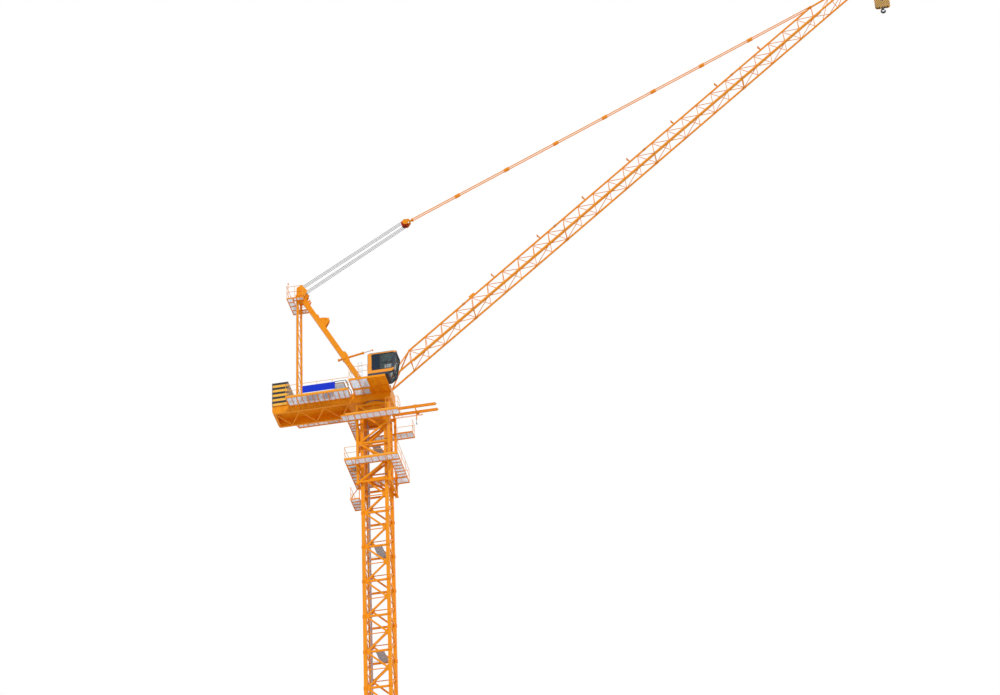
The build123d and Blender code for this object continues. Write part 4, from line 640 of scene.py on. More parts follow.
class Shape:
    """A mesh built from simple solids, whose heights are counted from a level."""

    def __init__(self, level=0.0):
        self.mesh = bmesh.new()
        self.level = level

    def point(self, place):
        return Vector((place[0], place[1], place[2] + self.level))

    def skin(self, rings):
        """Walls between rings of points, with a cap at each end."""
        rings = [[self.mesh.verts.new(point) for point in ring] for ring in rings]
        for low, high in zip(rings, rings[1:]):
            for index in range(len(low)):
                after = (index + 1) % len(low)
                self.mesh.faces.new((low[index], low[after], high[after], high[index]))
        self.mesh.faces.new(rings[0][::-1])
        self.mesh.faces.new(rings[-1])

    def bar(self, start, end, width, depth=None, upright=(0.0, 0.0, 1.0)):
        """A straight bar of rectangular section between two points."""
        first, last = self.point(start), self.point(end)
        along = (last - first).normalized()
        side = along.cross(Vector(upright))
        if side.length < PARALLEL:
            side = along.cross(Vector(ACROSS))
        side = side.normalized() * width / 2
        over = side.cross(along).normalized() * (depth or width) / 2
        corners = ((-1, -1), (1, -1), (1, 1), (-1, 1))
        self.skin([[point + side * a + over * b for a, b in corners] for point in (first, last)])

    def box(self, low, high):
        """A box between two opposite corners."""
        (x_low, x_high), (y_low, y_high), (z_low, z_high) = (sorted(pair) for pair in zip(low, high))
        y, z = (y_low + y_high) / 2, (z_low + z_high) / 2
        self.bar((x_low, y, z), (x_high, y, z), y_high - y_low, z_high - z_low)

    def rod(self, start, end, radius, sides=12, end_radius=None):
        """A round bar or cone between two points."""
        first, last = self.point(start), self.point(end)
        turn = (last - first).to_track_quat("Z", "Y")
        ends = ((first, radius), (last, end_radius or radius))
        self.skin([[centre + turn @ point for point in circle(size, 0, sides)] for centre, size in ends])

    def axle(self, x, z, start, end, radius, sides=12):
        """A round bar along Y."""
        self.rod((x, start, z), (x, end, z), radius, sides)

    def post(self, x, y, start, end, radius, sides=12):
        """A round bar along Z."""
        self.rod((x, y, start), (x, y, end), radius, sides)

    def plate(self, outline, y_low, y_high):
        """A plate with an outline in X and Z between two Y levels."""
        self.skin([[self.point((x, y, z)) for x, z in outline] for y in (y_low, y_high)])

    def lathe(self, centre, axis, outline, sides=32):
        """A turned shape: an outline of (radius, place along the axis) closed at both ends."""
        turn = Vector(axis).to_track_quat("Z", "Y")
        middle = self.point(centre)
        self.skin([[middle + turn @ point for point in circle(*place, sides)] for place in outline])

    def rim(self, centre, side, inner, outer, sides):
        """The raised rim on one side of a sheave."""
        outline = [(inner, 0.0), (outer, 0.006), (outer, 0.010), (inner, 0.012)]
        self.lathe(centre, (0, side, 0), outline, sides)

    def add(self, source):
        """Takes in a finished mesh."""
        self.mesh.from_mesh(source)
        bpy.data.meshes.remove(source)

    def studs(self, places, piece, material):
        """Takes in copies of a piece at places that have a facing each."""
        points = Shape()
        layer = points.mesh.verts.layers.float_vector.new("facing")
        for place, facing in places:
            points.mesh.verts.new(Vector(place))[layer] = Vector(facing).normalized()
        points = points.loose("places")
        self.add(grower_named(stud_grower).grow(Places=points, Piece=piece, Material=material))
        bpy.data.objects.remove(points)

    def done(self, name):
        """The mesh as it is now, closed to further building."""
        data = bpy.data.meshes.new(name)
        self.mesh.to_mesh(data)
        self.mesh.free()
        return data

    def loose(self, name):
        """An object outside the scene, for a Geometry Nodes tree to copy."""
        return bpy.data.objects.new(name, self.done(name))

    def piece(self, name, body, slot, material, replaces=(), smooth=False):
        """An object of the crane that rides on a body."""
        bmesh.ops.recalc_face_normals(self.mesh, faces=self.mesh.faces[:])
        data = self.done(name)
        data.materials.append(material)
        data.polygons.foreach_set("material_index", [0] * len(data.polygons))
        if smooth:
            data.shade_smooth()
            data.set_sharp_from_angle(angle=math.radians(SHARP_DEGREES))
        piece = bpy.data.objects.new(name, data)
        bpy.context.collection.objects.link(piece)
        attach(piece, body)
        if replaces:
            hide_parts(*replaces)
        return piece


def circle(radius, along, sides):
    """Points of a ring round Z."""
    angles = [2 * math.pi * index / sides for index in range(sides)]
    return [Vector((math.cos(angle) * radius, math.sin(angle) * radius, along)) for angle in angles]


def bolt_piece(across, height):
    """A hexagonal bolt head on its washer, standing on Z = 0."""
    bolt = Shape()
    washer = height * 0.22
    bolt.post(0, 0, 0, washer, across * 0.75)
    bolt.post(0, 0, washer, height, across / 2, 6)
    return bolt.loose("bolt")


def jib_point(along, across, up):
    """A point of the jib from its distance along, across and square to its floor."""
    return PIVOT + JIB_WAY * along + JIB_UP * up + Vector((0, across, 0))


# Operators


class CRANE_OT_stage(bpy.types.Operator):
    """White studio with soft light, and a camera at the photographed angle"""

    bl_idname = "crane.stage"
    bl_label = "Stage and camera"

    def execute(self, context):
        context.scene.view_settings.view_transform = "Standard"
        studio = Finish("studio", "worlds")
        rays = ("Is Camera Ray", "Is Transmission Ray", "Is Glossy Ray")
        camera, through, glossy = (studio.node("ShaderNodeLightPath", output=ray) for ray in rays)
        seen = glossy.maths("MAXIMUM", camera.maths("MAXIMUM", camera, through), glossy)
        sky = {"Color": (0.95, 0.975, 1.0, 1.0), "Strength": 0.62}
        light = studio.node("ShaderNodeBackground", None, sky)
        white = studio.node("ShaderNodeBackground", None, {"Color": WHITE, "Strength": 1.0})
        mixed = studio.node("ShaderNodeMixShader", None, {0: seen, 1: light, 2: white})
        studio.node("ShaderNodeOutputWorld", None, {"Surface": mixed})
        context.scene.world = studio.block

        for name, strength, angle, colour, direction in (
            ("sun", 1.55, 6.0, (1.0, 0.985, 0.96), (-0.35, 0.72, -0.60)),
            ("fill", 0.35, 40.0, (0.94, 0.97, 1.0), (-0.6, -0.5, -0.35)),
        ):
            lamp = bpy.data.lights.new(name, "SUN")
            lamp.energy = strength
            lamp.angle = math.radians(angle)
            lamp.color = colour
            holder = bpy.data.objects.new(name, lamp)
            holder.rotation_euler = Vector(direction).to_track_quat("-Z", "Y").to_euler()
            context.collection.objects.link(holder)

        self.floor(context)
        self.camera(context)
        return {"FINISHED"}

    def floor(self, context):
        """A pale floor that is see-through from below, where the camera is."""
        half, level = 60.0, -0.002
        sheet = Shape(level)
        corners = ((-half, -half), (half, -half), (half, half), (-half, half))
        sheet.mesh.faces.new([sheet.mesh.verts.new(sheet.point((x, y, 0))) for x, y in corners])
        finish = Finish("floor")
        below = finish.node("ShaderNodeNewGeometry", output="Backfacing")
        pale = finish.node("ShaderNodeBsdfDiffuse", None, {"Color": (0.82, 0.82, 0.82, 1.0)})
        clear = finish.node("ShaderNodeBsdfTransparent")
        mixed = finish.node("ShaderNodeMixShader", None, {0: below, 1: pale, 2: clear})
        finish.node("ShaderNodeOutputMaterial", None, {"Surface": mixed})
        floor = sheet.loose("floor")
        floor.data.materials.append(finish.block)
        context.collection.objects.link(floor)
        floor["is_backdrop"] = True

    def camera(self, context):
        """The camera stands far below the crane's head and looks up at it."""
        place = (20.456, -95.126, -50.703)
        azimuth, elevation, roll = 0.161, 0.607, -0.047
        level = math.cos(elevation)
        forward = Vector((-math.sin(azimuth) * level, math.cos(azimuth) * level, math.sin(elevation)))
        right = Vector((math.cos(azimuth), math.sin(azimuth), 0.0))
        up = right.cross(forward)
        turned_right = right * math.cos(roll) + up * math.sin(roll)
        turned_up = up * math.cos(roll) - right * math.sin(roll)
        lens = bpy.data.cameras.new("camera")
        lens.sensor_width = SENSOR
        lens.lens = context.scene.crane_sizes.lens
        lens.clip_start = 1.0
        lens.clip_end = 1000.0
        camera = bpy.data.objects.new("camera", lens)
        turn = Matrix((turned_right, turned_up, -forward)).transposed().to_4x4()
        camera.matrix_world = Matrix.Translation(place) @ turn
        context.collection.objects.link(camera)
        context.scene.camera = camera


class CRANE_OT_paint(bpy.types.Operator):
    """Gives every CAD node its finish"""

    bl_idname = "crane.paint"
    bl_label = "Paint"

    def execute(self, context):
        colours = context.scene.crane_finishes
        stripes = (colours.stripe_yellow, colours.stripe_black)
        orange = painted("orange paint", colours.paint)
        rails = painted("rail paint", colours.rail_paint, 0.2, 2.0)
        # The gratings' zinc colour holds painted sky light as well as the zinc's own colour.
        zinc_and_sky_light = galvanised("galvanised grating", colours.zinc_and_sky_light)
        rope = wire("greased wire rope", colours.rope)
        block_paint = [share * 0.9 for share in colours.paint]
        makers = {
            "counterweights": ballast_bands("counterweight bands", *stripes),
            "cab_shell": cab_panels("cab panels", colours.paint, colours.skirt),
            "cab_glass": tinted_glass("tinted glass", colours.glass),
            "electrical_cabinet": painted("cabinet paint", colours.cabinet, 0.25),
            "hook": forged("black hook steel", (0.012, 0.012, 0.014)),
            "backstop_rod": chromed("chromed rod", colours.paint),
            "hook_block": hazard_bands("hook block bands", *stripes),
            "turntable": painted("turntable paint", [share * 0.97 for share in colours.paint], 0.5, 1.4),
            "floating_block": painted("floating block paint", block_paint, 0.6, 3.0),
            "mast_ladder": galvanised("ladder zinc", [share * 0.55 for share in colours.zinc_and_sky_light]),
            "deck_handrails": rails,
            "climbing_handrails": rails,
            "climbing_gratings": zinc_and_sky_light,
            "deck_gratings": zinc_and_sky_light,
            "luffing_ropes": rope,
            "hoist_ropes": rope,
        }
        for name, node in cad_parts.items():
            for slot in node.material_slots:
                slot.material = makers.get(name, orange)
        return {"FINISHED"}


class CRANE_OT_gratings(bpy.types.Operator):
    """Bar gratings of every deck, in place of the plates that stand for them"""

    bl_idname = "crane.gratings"
    bl_label = "Gratings"

    def execute(self, context):
        inset = 0.025
        depth = 0.009
        head_inner = HEAD_OUTER - HEAD_STRIP
        head_middle = HEAD_REAR + HEAD_REAR_STRIP
        mast_decks = [
            (UPPER_NEAR_REAR, UPPER_NEAR_FRONT, -UPPER_OUTER, -POST_FACE, UPPER_DECK),
            (UPPER_REAR, -POST_FACE, -POST_FACE, POST_FACE, UPPER_DECK),
            (UPPER_REAR, UPPER_FAR_FRONT, POST_FACE, UPPER_OUTER, UPPER_DECK),
            (-MIDDLE_END, MIDDLE_END, -MIDDLE_OUTER, -POST_FACE, MIDDLE_DECK),
            (-MIDDLE_END, -POST_FACE, -POST_FACE, POST_FACE, MIDDLE_DECK),
            (POST_FACE, MIDDLE_END, -POST_FACE, POST_FACE, MIDDLE_DECK),
            (-MIDDLE_END, MIDDLE_END, POST_FACE, MIDDLE_OUTER, MIDDLE_DECK),
            (LOWER_REAR, LOWER_FRONT, -LOWER_HALF, LOWER_HALF, LOWER_DECK),
        ]
        top_decks = [
            (WALKWAY_REAR, WALKWAY_FRONT, -WALKWAY_OUTER, -GIRDER_OUTER, WALKWAY),
            (WALKWAY_REAR, WALKWAY_FRONT, GIRDER_OUTER, WALKWAY_OUTER, WALKWAY),
            (PLATFORM_REAR, 0.033, PLATFORM_OUTER, PLATFORM_DIVIDER, DECK),
            (PLATFORM_REAR, -0.060, PLATFORM_DIVIDER - 0.024, -GIRDER_OUTER, DECK),
            (HEAD_REAR, head_middle, -HEAD_OUTER, HEAD_OUTER, HEAD_DECK),
            (head_middle, HEAD_FRONT, -HEAD_OUTER, -head_inner, HEAD_DECK),
            (head_middle, HEAD_FRONT, head_inner, HEAD_OUTER, HEAD_DECK),
        ]
        sizes = context.scene.crane_sizes
        zinc_and_sky_light = finish_named("galvanised grating")
        for name, body, decks, node in (
            ("climbing_bar_gratings", "mast", mast_decks, "climbing_gratings"),
            ("deck_bar_gratings", "superstructure", top_decks, "deck_gratings"),
        ):
            bars = Shape()
            for x_low, x_high, y_low, y_high, top in decks:
                bars.add(
                    grower_named(grating_grower).grow(
                        Low=(x_low + inset, y_low + inset, top - depth),
                        High=(x_high - inset, y_high - inset, top),
                        Pitch=sizes.grating_pitch,
                        Bar=sizes.grating_bar,
                        Cross_pitch=sizes.grating_cross_pitch,
                        Material=zinc_and_sky_light,
                    )
                )
            bars.piece(name, body, "grating", zinc_and_sky_light, (node,))
        plates = Shape(DECK)
        top, bottom, catch_y = -0.007, -0.015, -0.730
        for low, high in ((-0.060, 0.330), (0.340, 0.740)):
            plates.box((low, PLATFORM_DIVIDER + 0.001, bottom), (high, -GIRDER_OUTER - 0.010, top))
            for x in (low + 0.06, high - 0.06):
                plates.post(x, catch_y, bottom - 0.004, bottom, 0.022, 16)
        orange = finish_named("orange paint")
        plates.piece("cab_platform_plates", "superstructure", "orange_paint", orange)
        return {"FINISHED"}


class CRANE_OT_ropes(bpy.types.Operator):
    """Stranded falls of the luffing tackle and of the hoist"""

    bl_idname = "crane.ropes"
    bl_label = "Ropes"

    def execute(self, context):
        lay = context.scene.crane_sizes.lay
        rope = finish_named("greased wire rope")
        way = (BLOCK_SHEAVE - HEAD).normalized()
        side = Vector((-way.z, 0, way.x))
        falls = Shape()
        for sheave in (-1, 0, 1):
            for turn in (-1, 1):
                across = Vector((0, sheave * SHEAVE_PITCH, 0))
                start = HEAD + across + side * turn * (HEAD_RADIUS + ROPE / 2)
                end = BLOCK_SHEAVE + across + side * turn * (BLOCK_RADIUS + ROPE / 2)
                self.fall(falls, start, end, lay, rope)
        falls = falls.piece("luffing_rope_falls", "luffing_ropes", "wire_rope", rope, ("luffing_ropes",))
        falls.parent = None
        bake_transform(falls)
        hoist = Shape()
        for turn in (-1, 1):
            x = TIP.x + turn * (TIP_RADIUS + ROPE / 2)
            self.fall(hoist, (x, 0, TIP.z), (x, 0, HOOK_SHEAVE), lay / 2, rope)
        hoist = hoist.piece("hoist_rope_falls", "hoist_ropes", "wire_rope", rope, ("hoist_ropes",))
        hoist.parent = None
        TIP.x
        TIP.z
        TIP.x
        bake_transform(hoist)
        return {"FINISHED"}

    def fall(self, shape, start, end, lay, material):
        """One straight fall of rope."""
        turns = (Vector(end) - Vector(start)).length / lay
        shape.add(
            grower_named(rope_grower).grow(
                Start=tuple(start),
                End=tuple(end),
                Radius=ROPE / 2,
                Turns=turns,
                Steps=int(turns * ROPE_STEPS) + 2,
                Strands=ROPE_STRANDS,
                Material=material,
            )
        )


class CRANE_OT_mast(bpy.types.Operator):
    """Thin bars and gussets of the mast, bolts of its joints and feet, and teeth of the slewing ring"""

    bl_idname = "crane.mast"
    bl_label = "Mast pieces"

    def execute(self, context):
        orange = finish_named("orange paint")
        bolt = bolt_piece(context.scene.crane_sizes.bolt, 0.018)
        inner = MAST_HALF - CHORD / 2
        face = -MAST_HALF - CHORD / 2 - 0.008
        gusset_length, gusset_root, gusset_end = 0.11, 0.15, 0.06
        side = Shape()
        places = []
        for level in range(2 * SECTIONS + 1):
            z = MAST_BASE + level * SECTION / 2
            at_left = level % 2 == 0
            if not at_left:
                side.bar((-inner, -MAST_HALF, z), (inner, -MAST_HALF, z), 0.028)
            if 0 < level < 2 * SECTIONS:
                corner = -inner if at_left else inner
                reach = corner + gusset_length if at_left else corner - gusset_length
                rises = (-gusset_root, -gusset_end, gusset_end, gusset_root)
                outline = [(x, z + rise) for x, rise in zip((corner, reach, reach, corner), rises)]
                side.plate(outline, -MAST_HALF - 0.031, -MAST_HALF - 0.023)
                if at_left:
                    places += [
                        ((x + dx, face, z + dz), (0, -1, 0))
                        for x in (-MAST_HALF, MAST_HALF)
                        for dx in (-0.032, 0.032)
                        for dz in (-0.032, 0.032)
                    ]
        side.studs(places, bolt, orange)
        side = side.done("mast side")
        fittings = Shape()
        for turn in range(4):
            side.transform(Matrix.Rotation(math.pi / 2, 4, "Z"))
            fittings.mesh.from_mesh(side)
        bpy.data.meshes.remove(side)
        fittings.piece("mast_fittings", "mast", "orange_paint", orange)

        steel = finish_named("bare steel", forged, (0.20, 0.19, 0.18))
        anchor = Shape()
        anchor.post(0, 0, 0, 0.024, 0.021, 6)
        anchor.post(0, 0, 0.024, 0.044, 0.019, 6)
        anchor.post(0, 0, 0.044, 0.075, 0.011, 10)
        feet = Shape()
        offset, foot_top = 0.095, 0.030
        places = [
            ((sx * MAST_HALF + dx, sy * MAST_HALF + dy, foot_top), (0, 0, 1))
            for sx in (-1, 1)
            for sy in (-1, 1)
            for dx in (-offset, offset)
            for dy in (-offset, offset)
        ]
        feet.studs(places, anchor.loose("anchor"), steel)
        feet.piece("foundation_anchor_nuts", "mast", "hook_steel", steel)

        tooth = Shape()
        tooth.bar((0, 0, 0), (0, 0, 0.015), 0.017, 0.046, ACROSS)
        ring = Shape()
        level = RING_BASE + 0.034
        places = [(tuple(point), (point.x, point.y, 0)) for point in circle(0.528, level, RING_TEETH)]
        ring.studs(places, tooth.loose("tooth"), steel)
        ring.piece("slewing_ring_teeth", "mast", "hook_steel", steel)
        return {"FINISHED"}


class CRANE_OT_climbing(bpy.types.Operator):
    """Stays, toe boards and rollers of the climbing frame, its hydraulic ram and pump, and the chain hoist"""

    bl_idname = "crane.climbing"
    bl_label = "Climbing frame pieces"

    def execute(self, context):
        self.platforms()
        self.drive()
        self.introduction()
        return {"FINISHED"}

    def platforms(self):
        """Stays and toe boards of the platforms, and the rollers that run on the mast."""
        stays = Shape()
        boards = Shape()
        for deck, outer, rear, near_front, far_front in (
            (UPPER_DECK, UPPER_OUTER, UPPER_REAR, UPPER_NEAR_FRONT, UPPER_FAR_FRONT),
            (MIDDLE_DECK, MIDDLE_OUTER, -MIDDLE_END, MIDDLE_END, MIDDLE_END),
        ):
            under = deck - DECK_DEPTH
            for side, front in ((-1, near_front), (1, far_front)):
                for x in (-FRAME_HALF, FRAME_HALF):
                    stays.bar((x, side * (outer - 0.02), under), (x, side * POST_FACE, deck - 0.46), STAY)
                y = side * (outer - TOE_SHEET)
                boards.box((rear, y - TOE_SHEET, deck), (front, y, deck + TOE_BOARD))
            for y in (-FRAME_HALF, FRAME_HALF):
                stays.bar((rear + 0.02, y, under), (-POST_FACE, y, deck - 0.42), STAY)
            boards.box((rear, -outer, deck), (rear + TOE_SHEET, outer, deck + TOE_BOARD))
        stays.piece("platform_stays", "mast", "orange_paint", finish_named("orange paint"))
        boards.piece("platform_toe_boards", "mast", "orange_paint", finish_named("rail paint"))

        rollers = Shape()
        place, half, radius = 0.556, 0.040, 0.0175
        for rise in (0.300, 1.900):
            z = FRAME_TOP - FRAME_HEIGHT + rise
            for sx in (-1, 1):
                for sy in (-1, 1):
                    y = sy * MAST_HALF
                    rollers.axle(sx * place, z, y - half, y + half, radius, 16)
                    rollers.rod((y - half, sx * place, z), (y + half, sx * place, z), radius, 16)
        steel = finish_named("bare steel")
        rollers.piece("climbing_rollers", "mast", "hook_steel", steel, smooth=True)

    def drive(self):
        """The hydraulic ram between two cross beams, and its pump on the middle platform."""
        ram = Shape()
        x, top, low = -0.720, UPPER_DECK - 0.30, MIDDLE_DECK + 0.38
        reach, head = 0.380, top + 0.03
        cylinder = [(0.040, 0.0), (0.052, 0.012), (0.052, 0.72), (0.060, 0.74), (0.060, 0.80)]
        piston = [(0.036, 0.815), (0.030, 0.82), (0.030, top - low)]
        ram.lathe((x, 0, top), (0, 0, -1), cylinder + piston, 28)
        ram.bar((x, -reach, low), (x, reach, low), 0.090, 0.110)
        ram.bar((x + 0.02, -0.200, head), (x + 0.02, 0.200, head), 0.100, 0.070)
        for y in (-reach, reach):
            ram.bar((x, y, low), (-0.560, y * 0.9, low), 0.050, 0.080)
            ram.bar((x, y / 2, head), (-FRAME_HALF, y / 2, head), 0.050, 0.060)
        ram.piece("climbing_ram", "mast", "orange_paint", finish_named("orange paint"), smooth=True)

        grey = finish_named("machine grey", painted, (0.22, 0.24, 0.26), 0.4, 2.0)
        pump = Shape(MIDDLE_DECK)
        motor_x, motor_z = -0.86, 0.26
        pump.box((-0.98, -0.50, 0.02), (-0.74, -0.16, 0.20))
        pump.axle(motor_x, motor_z, -0.46, -0.22, 0.065, 24)
        for y in (-0.44, -0.40, -0.36, -0.32, -0.28):
            pump.axle(motor_x, motor_z, y, y + 0.008, 0.073, 24)
        pump.post(-0.80, -0.20, 0.20, 0.30, 0.022, 16)
        pump.piece("climbing_pump", "mast", "grey_cabinet", grey, smooth=True)

    def introduction(self):
        """Flanges and monorail of the introduction beams, and the carriage with its chain."""
        orange = finish_named("orange paint")
        flanges = Shape()
        low, high = FRAME_TOP - 0.160, FRAME_TOP - 0.090
        beam_y, beam_half, flange = 0.200, 0.0345, 0.012
        for side in (-1, 1):
            y = side * beam_y
            for bottom in (low - flange, high):
                flanges.box((0.620, y - beam_half, bottom), (2.400, y + beam_half, bottom + flange))
        rail_end = 1.790
        for z in (low - 0.100, low - 0.135):
            flanges.rod((0.665, beam_y, z - 0.010), (rail_end, beam_y, z), 0.009, 12)
        for x in (0.70, 0.85, 1.00):
            flanges.bar((x, beam_y, low - 0.145), (x, beam_y, low - 0.010), 0.016)
        flanges.post(rail_end, beam_y, low - 0.150, low - 0.085, 0.020, 14)
        flanges.piece("introduction_flanges", "mast", "orange_paint", orange)

        carriage = Shape(low)
        x, wheel_z = TROLLEY, 0.025
        for side in (-1, 1):
            y = side * 0.248
            carriage.box((x - 0.065, y - 0.004, -0.070), (x + 0.065, y + 0.004, high - low + 0.020))
            for wheel_x in (x - 0.035, x + 0.035):
                carriage.axle(wheel_x, wheel_z, side * 0.227, side * 0.244, 0.018, 20)
                carriage.axle(wheel_x, wheel_z, y, y + side * 0.012, 0.009, 6)
        carriage.bar((x, -0.250, -0.052), (x, 0.250, -0.052), 0.036, 0.036)
        carriage.bar((x, 0, -0.420), (x, 0, -0.040), 0.036)
        carriage.box((x - 0.028, -0.028, -0.425), (x + 0.028, 0.028, -0.405))
        body = "introduction_trolley"
        carriage.piece("introduction_carriage", body, "orange_paint", orange, (body,))

        chain = Shape(FRAME_TOP - 0.585)
        for link in range(7):
            self.link(chain, x, -0.006 - link * 0.024, link % 2)
        chain.post(x, 0, -0.225, -0.180, 0.020, 16)
        chain.post(x, 0, -0.250, -0.225, 0.008, 10)
        chain.rod((x, 0, -0.250), (x + 0.022, 0, -0.268), 0.007, 10)
        chain.rod((x + 0.022, 0, -0.268), (x + 0.028, 0, -0.240), 0.006, 10)
        chain.piece("section_hoist_chain", body, "hook_steel", finish_named("bare steel"))

    def link(self, shape, x, z, crossed):
        """One oval link of a chain, round the vertical line at x."""
        half_width, half_height = 0.009, 0.013
        turns = ((1, 1), (1, -1), (-1, -1), (-1, 1))
        corners = [(across * half_width, z + up * half_height) for across, up in turns]
        places = [(x, across, up) if crossed else (x + across, 0, up) for across, up in corners]
        for index, place in enumerate(places):
            shape.rod(places[index - 1], place, 0.0032, 6)


class CRANE_OT_counter_jib(bpy.types.Operator):
    """Flanges and brackets of the counter-jib, its board, cabinet fittings and ballast lifting eyes"""

    bl_idname = "crane.counter_jib"
    bl_label = "Counter-jib pieces"

    def execute(self, context):
        self.girders(context)
        self.board_and_cabinet()
        self.ballast()
        return {"FINISHED"}

    def girders(self, context):
        """Flanges, stiffeners, joint plates and walkway brackets, and the walkways' toe boards."""
        orange = finish_named("orange paint")
        fittings = Shape()
        boards = Shape()
        flange, flange_reach, plate = 0.012, 0.022, 0.010
        stiffeners, stiffener_pitch, first_stiffener = 13, 0.2067, -3.340
        joint_places = (-2.60, -2.15)
        for side in (-1, 1):
            face = side * GIRDER_OUTER
            lip = face + side * flange_reach
            for low in (SLEWING_BASE, DECK - flange):
                fittings.box((-3.960, face, low), (0.560, lip, low + flange))
            edge = side * (WALKWAY_OUTER - 0.010)
            for index in range(stiffeners):
                x = first_stiffener + index * stiffener_pitch
                top = WALKWAY - DECK_DEPTH
                fittings.box((x - 0.005, face, SLEWING_BASE + flange), (x + 0.005, lip, top))
                if index % 2 == 0:
                    end = (x, edge - side * 0.05, WALKWAY - 0.060)
                    fittings.bar((x, face, WALKWAY - 0.270), end, 0.022)
            y = side * (WALKWAY_OUTER - TOE_SHEET)
            boards.box((WALKWAY_REAR, y - TOE_SHEET, WALKWAY), (WALKWAY_FRONT, y, WALKWAY + TOE_BOARD))
            for x in joint_places:
                outer = face + side * plate
                fittings.box((x - 0.11, face, SLEWING_BASE + 0.030), (x + 0.11, outer, DECK - 0.120))
        bolt = bolt_piece(context.scene.crane_sizes.bolt * 0.8, 0.014)
        places = [
            ((x + dx, side * (GIRDER_OUTER + plate), SLEWING_BASE + 0.055 + dz * 0.052), (0, side, 0))
            for side in (-1, 1)
            for x in joint_places
            for dx in (-0.08, -0.035, 0.035, 0.08)
            for dz in range(4)
        ]
        fittings.studs(places, bolt, orange)
        fittings.piece("counter_jib_fittings", "superstructure", "orange_paint", orange)
        boards.piece("walkway_toe_boards", "superstructure", "orange_paint", finish_named("rail paint"))

    def board_and_cabinet(self):
        """The board on the walkway's railing, and the cabinet's doors and hoop."""
        board = Shape()
        back = -1.111
        board.box((-2.675, back - 0.008, 14.600), (-1.375, back, 14.925))
        for x in (-2.60, -2.05, -1.45):
            board.box((x - 0.012, back, 14.62), (x + 0.012, back + 0.006, 14.905))
        blue = finish_named("board blue", painted, (0.002, 0.030, 0.60), 0.1, 3.0)
        board.piece("railing_board", "superstructure", "cab_steel", blue)

        doors = Shape(DECK)
        face = CABINET_NEAR
        grip, handle = face - 0.014, face - 0.024
        for low, high in ((-1.590, -1.402), (-1.388, -1.200)):
            doors.box((low, face - 0.010, 0.050), (high, face, 0.690))
            for index in range(6):
                z = 0.480 + index * 0.028
                doors.bar((low + 0.03, grip, z), (high - 0.03, grip, z), 0.006, 0.016)
            for z in (0.14, 0.60):
                doors.post(low + 0.006, grip, z, z + 0.05, 0.007, 8)
        for x in (-1.415, -1.375):
            doors.post(x, handle, 0.33, 0.41, 0.006, 8)
        doors.piece("cabinet_doors", "superstructure", "grey_cabinet", finish_named("cabinet paint"))

        hoop = Shape(DECK)
        line = [(-1.560, 0.755), (-1.560, 0.830), (-1.110, 0.840), (-1.000, 0.640), (-1.000, 0)]
        for y in (CABINET_NEAR, CABINET_FAR):
            for (x_low, z_low), (x_high, z_high) in zip(line, line[1:]):
                hoop.rod((x_low, y, z_low), (x_high, y, z_high), HOOP, 10)
        for x, z in line[1:3]:
            hoop.axle(x, z, CABINET_NEAR, CABINET_FAR, HOOP, 10)
        dark = finish_named("dark rubber", plain_plastic, (0.018, 0.020, 0.024))
        hoop.piece("cabinet_hoop", "superstructure", "hook_steel", dark)

    def ballast(self):
        """Lifting eyes on the top slab, and the rods that hold the slabs together."""
        eyes = Shape(DECK)
        eye_steps, eye_radius, eye_height, top = 8, 0.040, 0.050, 1.068
        angles = [math.radians(180 * step / eye_steps) for step in range(eye_steps + 1)]
        for x in (-3.550, -3.890):
            for y in (-0.330, 0.330):
                arc = [(x + math.cos(a) * eye_radius, y, top + math.sin(a) * eye_height) for a in angles]
                for start, end in zip(arc, arc[1:]):
                    eyes.rod(start, end, 0.009, 8)
        for x in (-3.420, -4.015):
            for y in (-0.549, 0.549):
                eyes.post(x, y, 0.010, 1.075, 0.009, 8)
                eyes.post(x, y, 1.040, 1.062, 0.018, 6)
        steel = finish_named("bare steel")
        eyes.piece("ballast_eyes_and_rods", "superstructure", "hook_steel", steel)


class CRANE_OT_winches(bpy.types.Operator):
    """Rope wound on the two drums, and their motors, gearboxes and brakes"""

    bl_idname = "crane.winches"
    bl_label = "Winches"

    def execute(self, context):
        rope = finish_named("greased wire rope")
        axis_z, motor_z, fins = 0.270, 0.150, 9
        fin_outline = ((0.076, 0.0), (0.086, 0.004), (0.086, 0.010), (0.076, 0.014))
        windings = Shape()
        motors = Shape(DECK)
        for x, motor_x, motor_y, reach in ((-1.850, -1.580, 0.270, 0.300), (-2.470, -2.990, 0.000, 0.240)):
            windings.add(
                grower_named(winding_grower).grow(
                    Centre=(x, 0.0, DECK + axis_z),
                    Radius=0.198,
                    Width=0.590,
                    Turns=40.0,
                    Rope_radius=0.0073,
                    Material=rope,
                )
            )
            outline = [(0.060, 0.0), (0.082, 0.010)]
            for fin in range(fins):
                along = 0.030 + fin * (reach - 0.07) / fins
                outline += [(radius, along + step) for radius, step in fin_outline]
            outline += [(0.084, reach - 0.03), (0.084, reach), (0.040, reach + 0.012)]
            motors.lathe((motor_x, motor_y, motor_z), (1, 0, 0), outline, 28)
            motors.box((motor_x + 0.06, motor_y - 0.03, 0.220), (motor_x + 0.15, motor_y + 0.03, 0.275))
            for foot in (motor_x + 0.05, motor_x + reach - 0.06):
                motors.box((foot, motor_y - 0.07, 0), (foot + 0.03, motor_y + 0.07, 0.090))
            motors.axle(x, axis_z, 0.370, 0.415, 0.150, 28)
            motors.axle(x, axis_z, 0.415, 0.430, 0.060, 20)
            motors.axle(x, axis_z, -0.400, -0.370, 0.110, 28)
        windings.piece("drum_windings", "superstructure", "wire_rope", rope, smooth=True)
        grey = finish_named("machine grey")
        motors.piece("winch_motors", "superstructure", "grey_cabinet", grey, smooth=True)
        return {"FINISHED"}


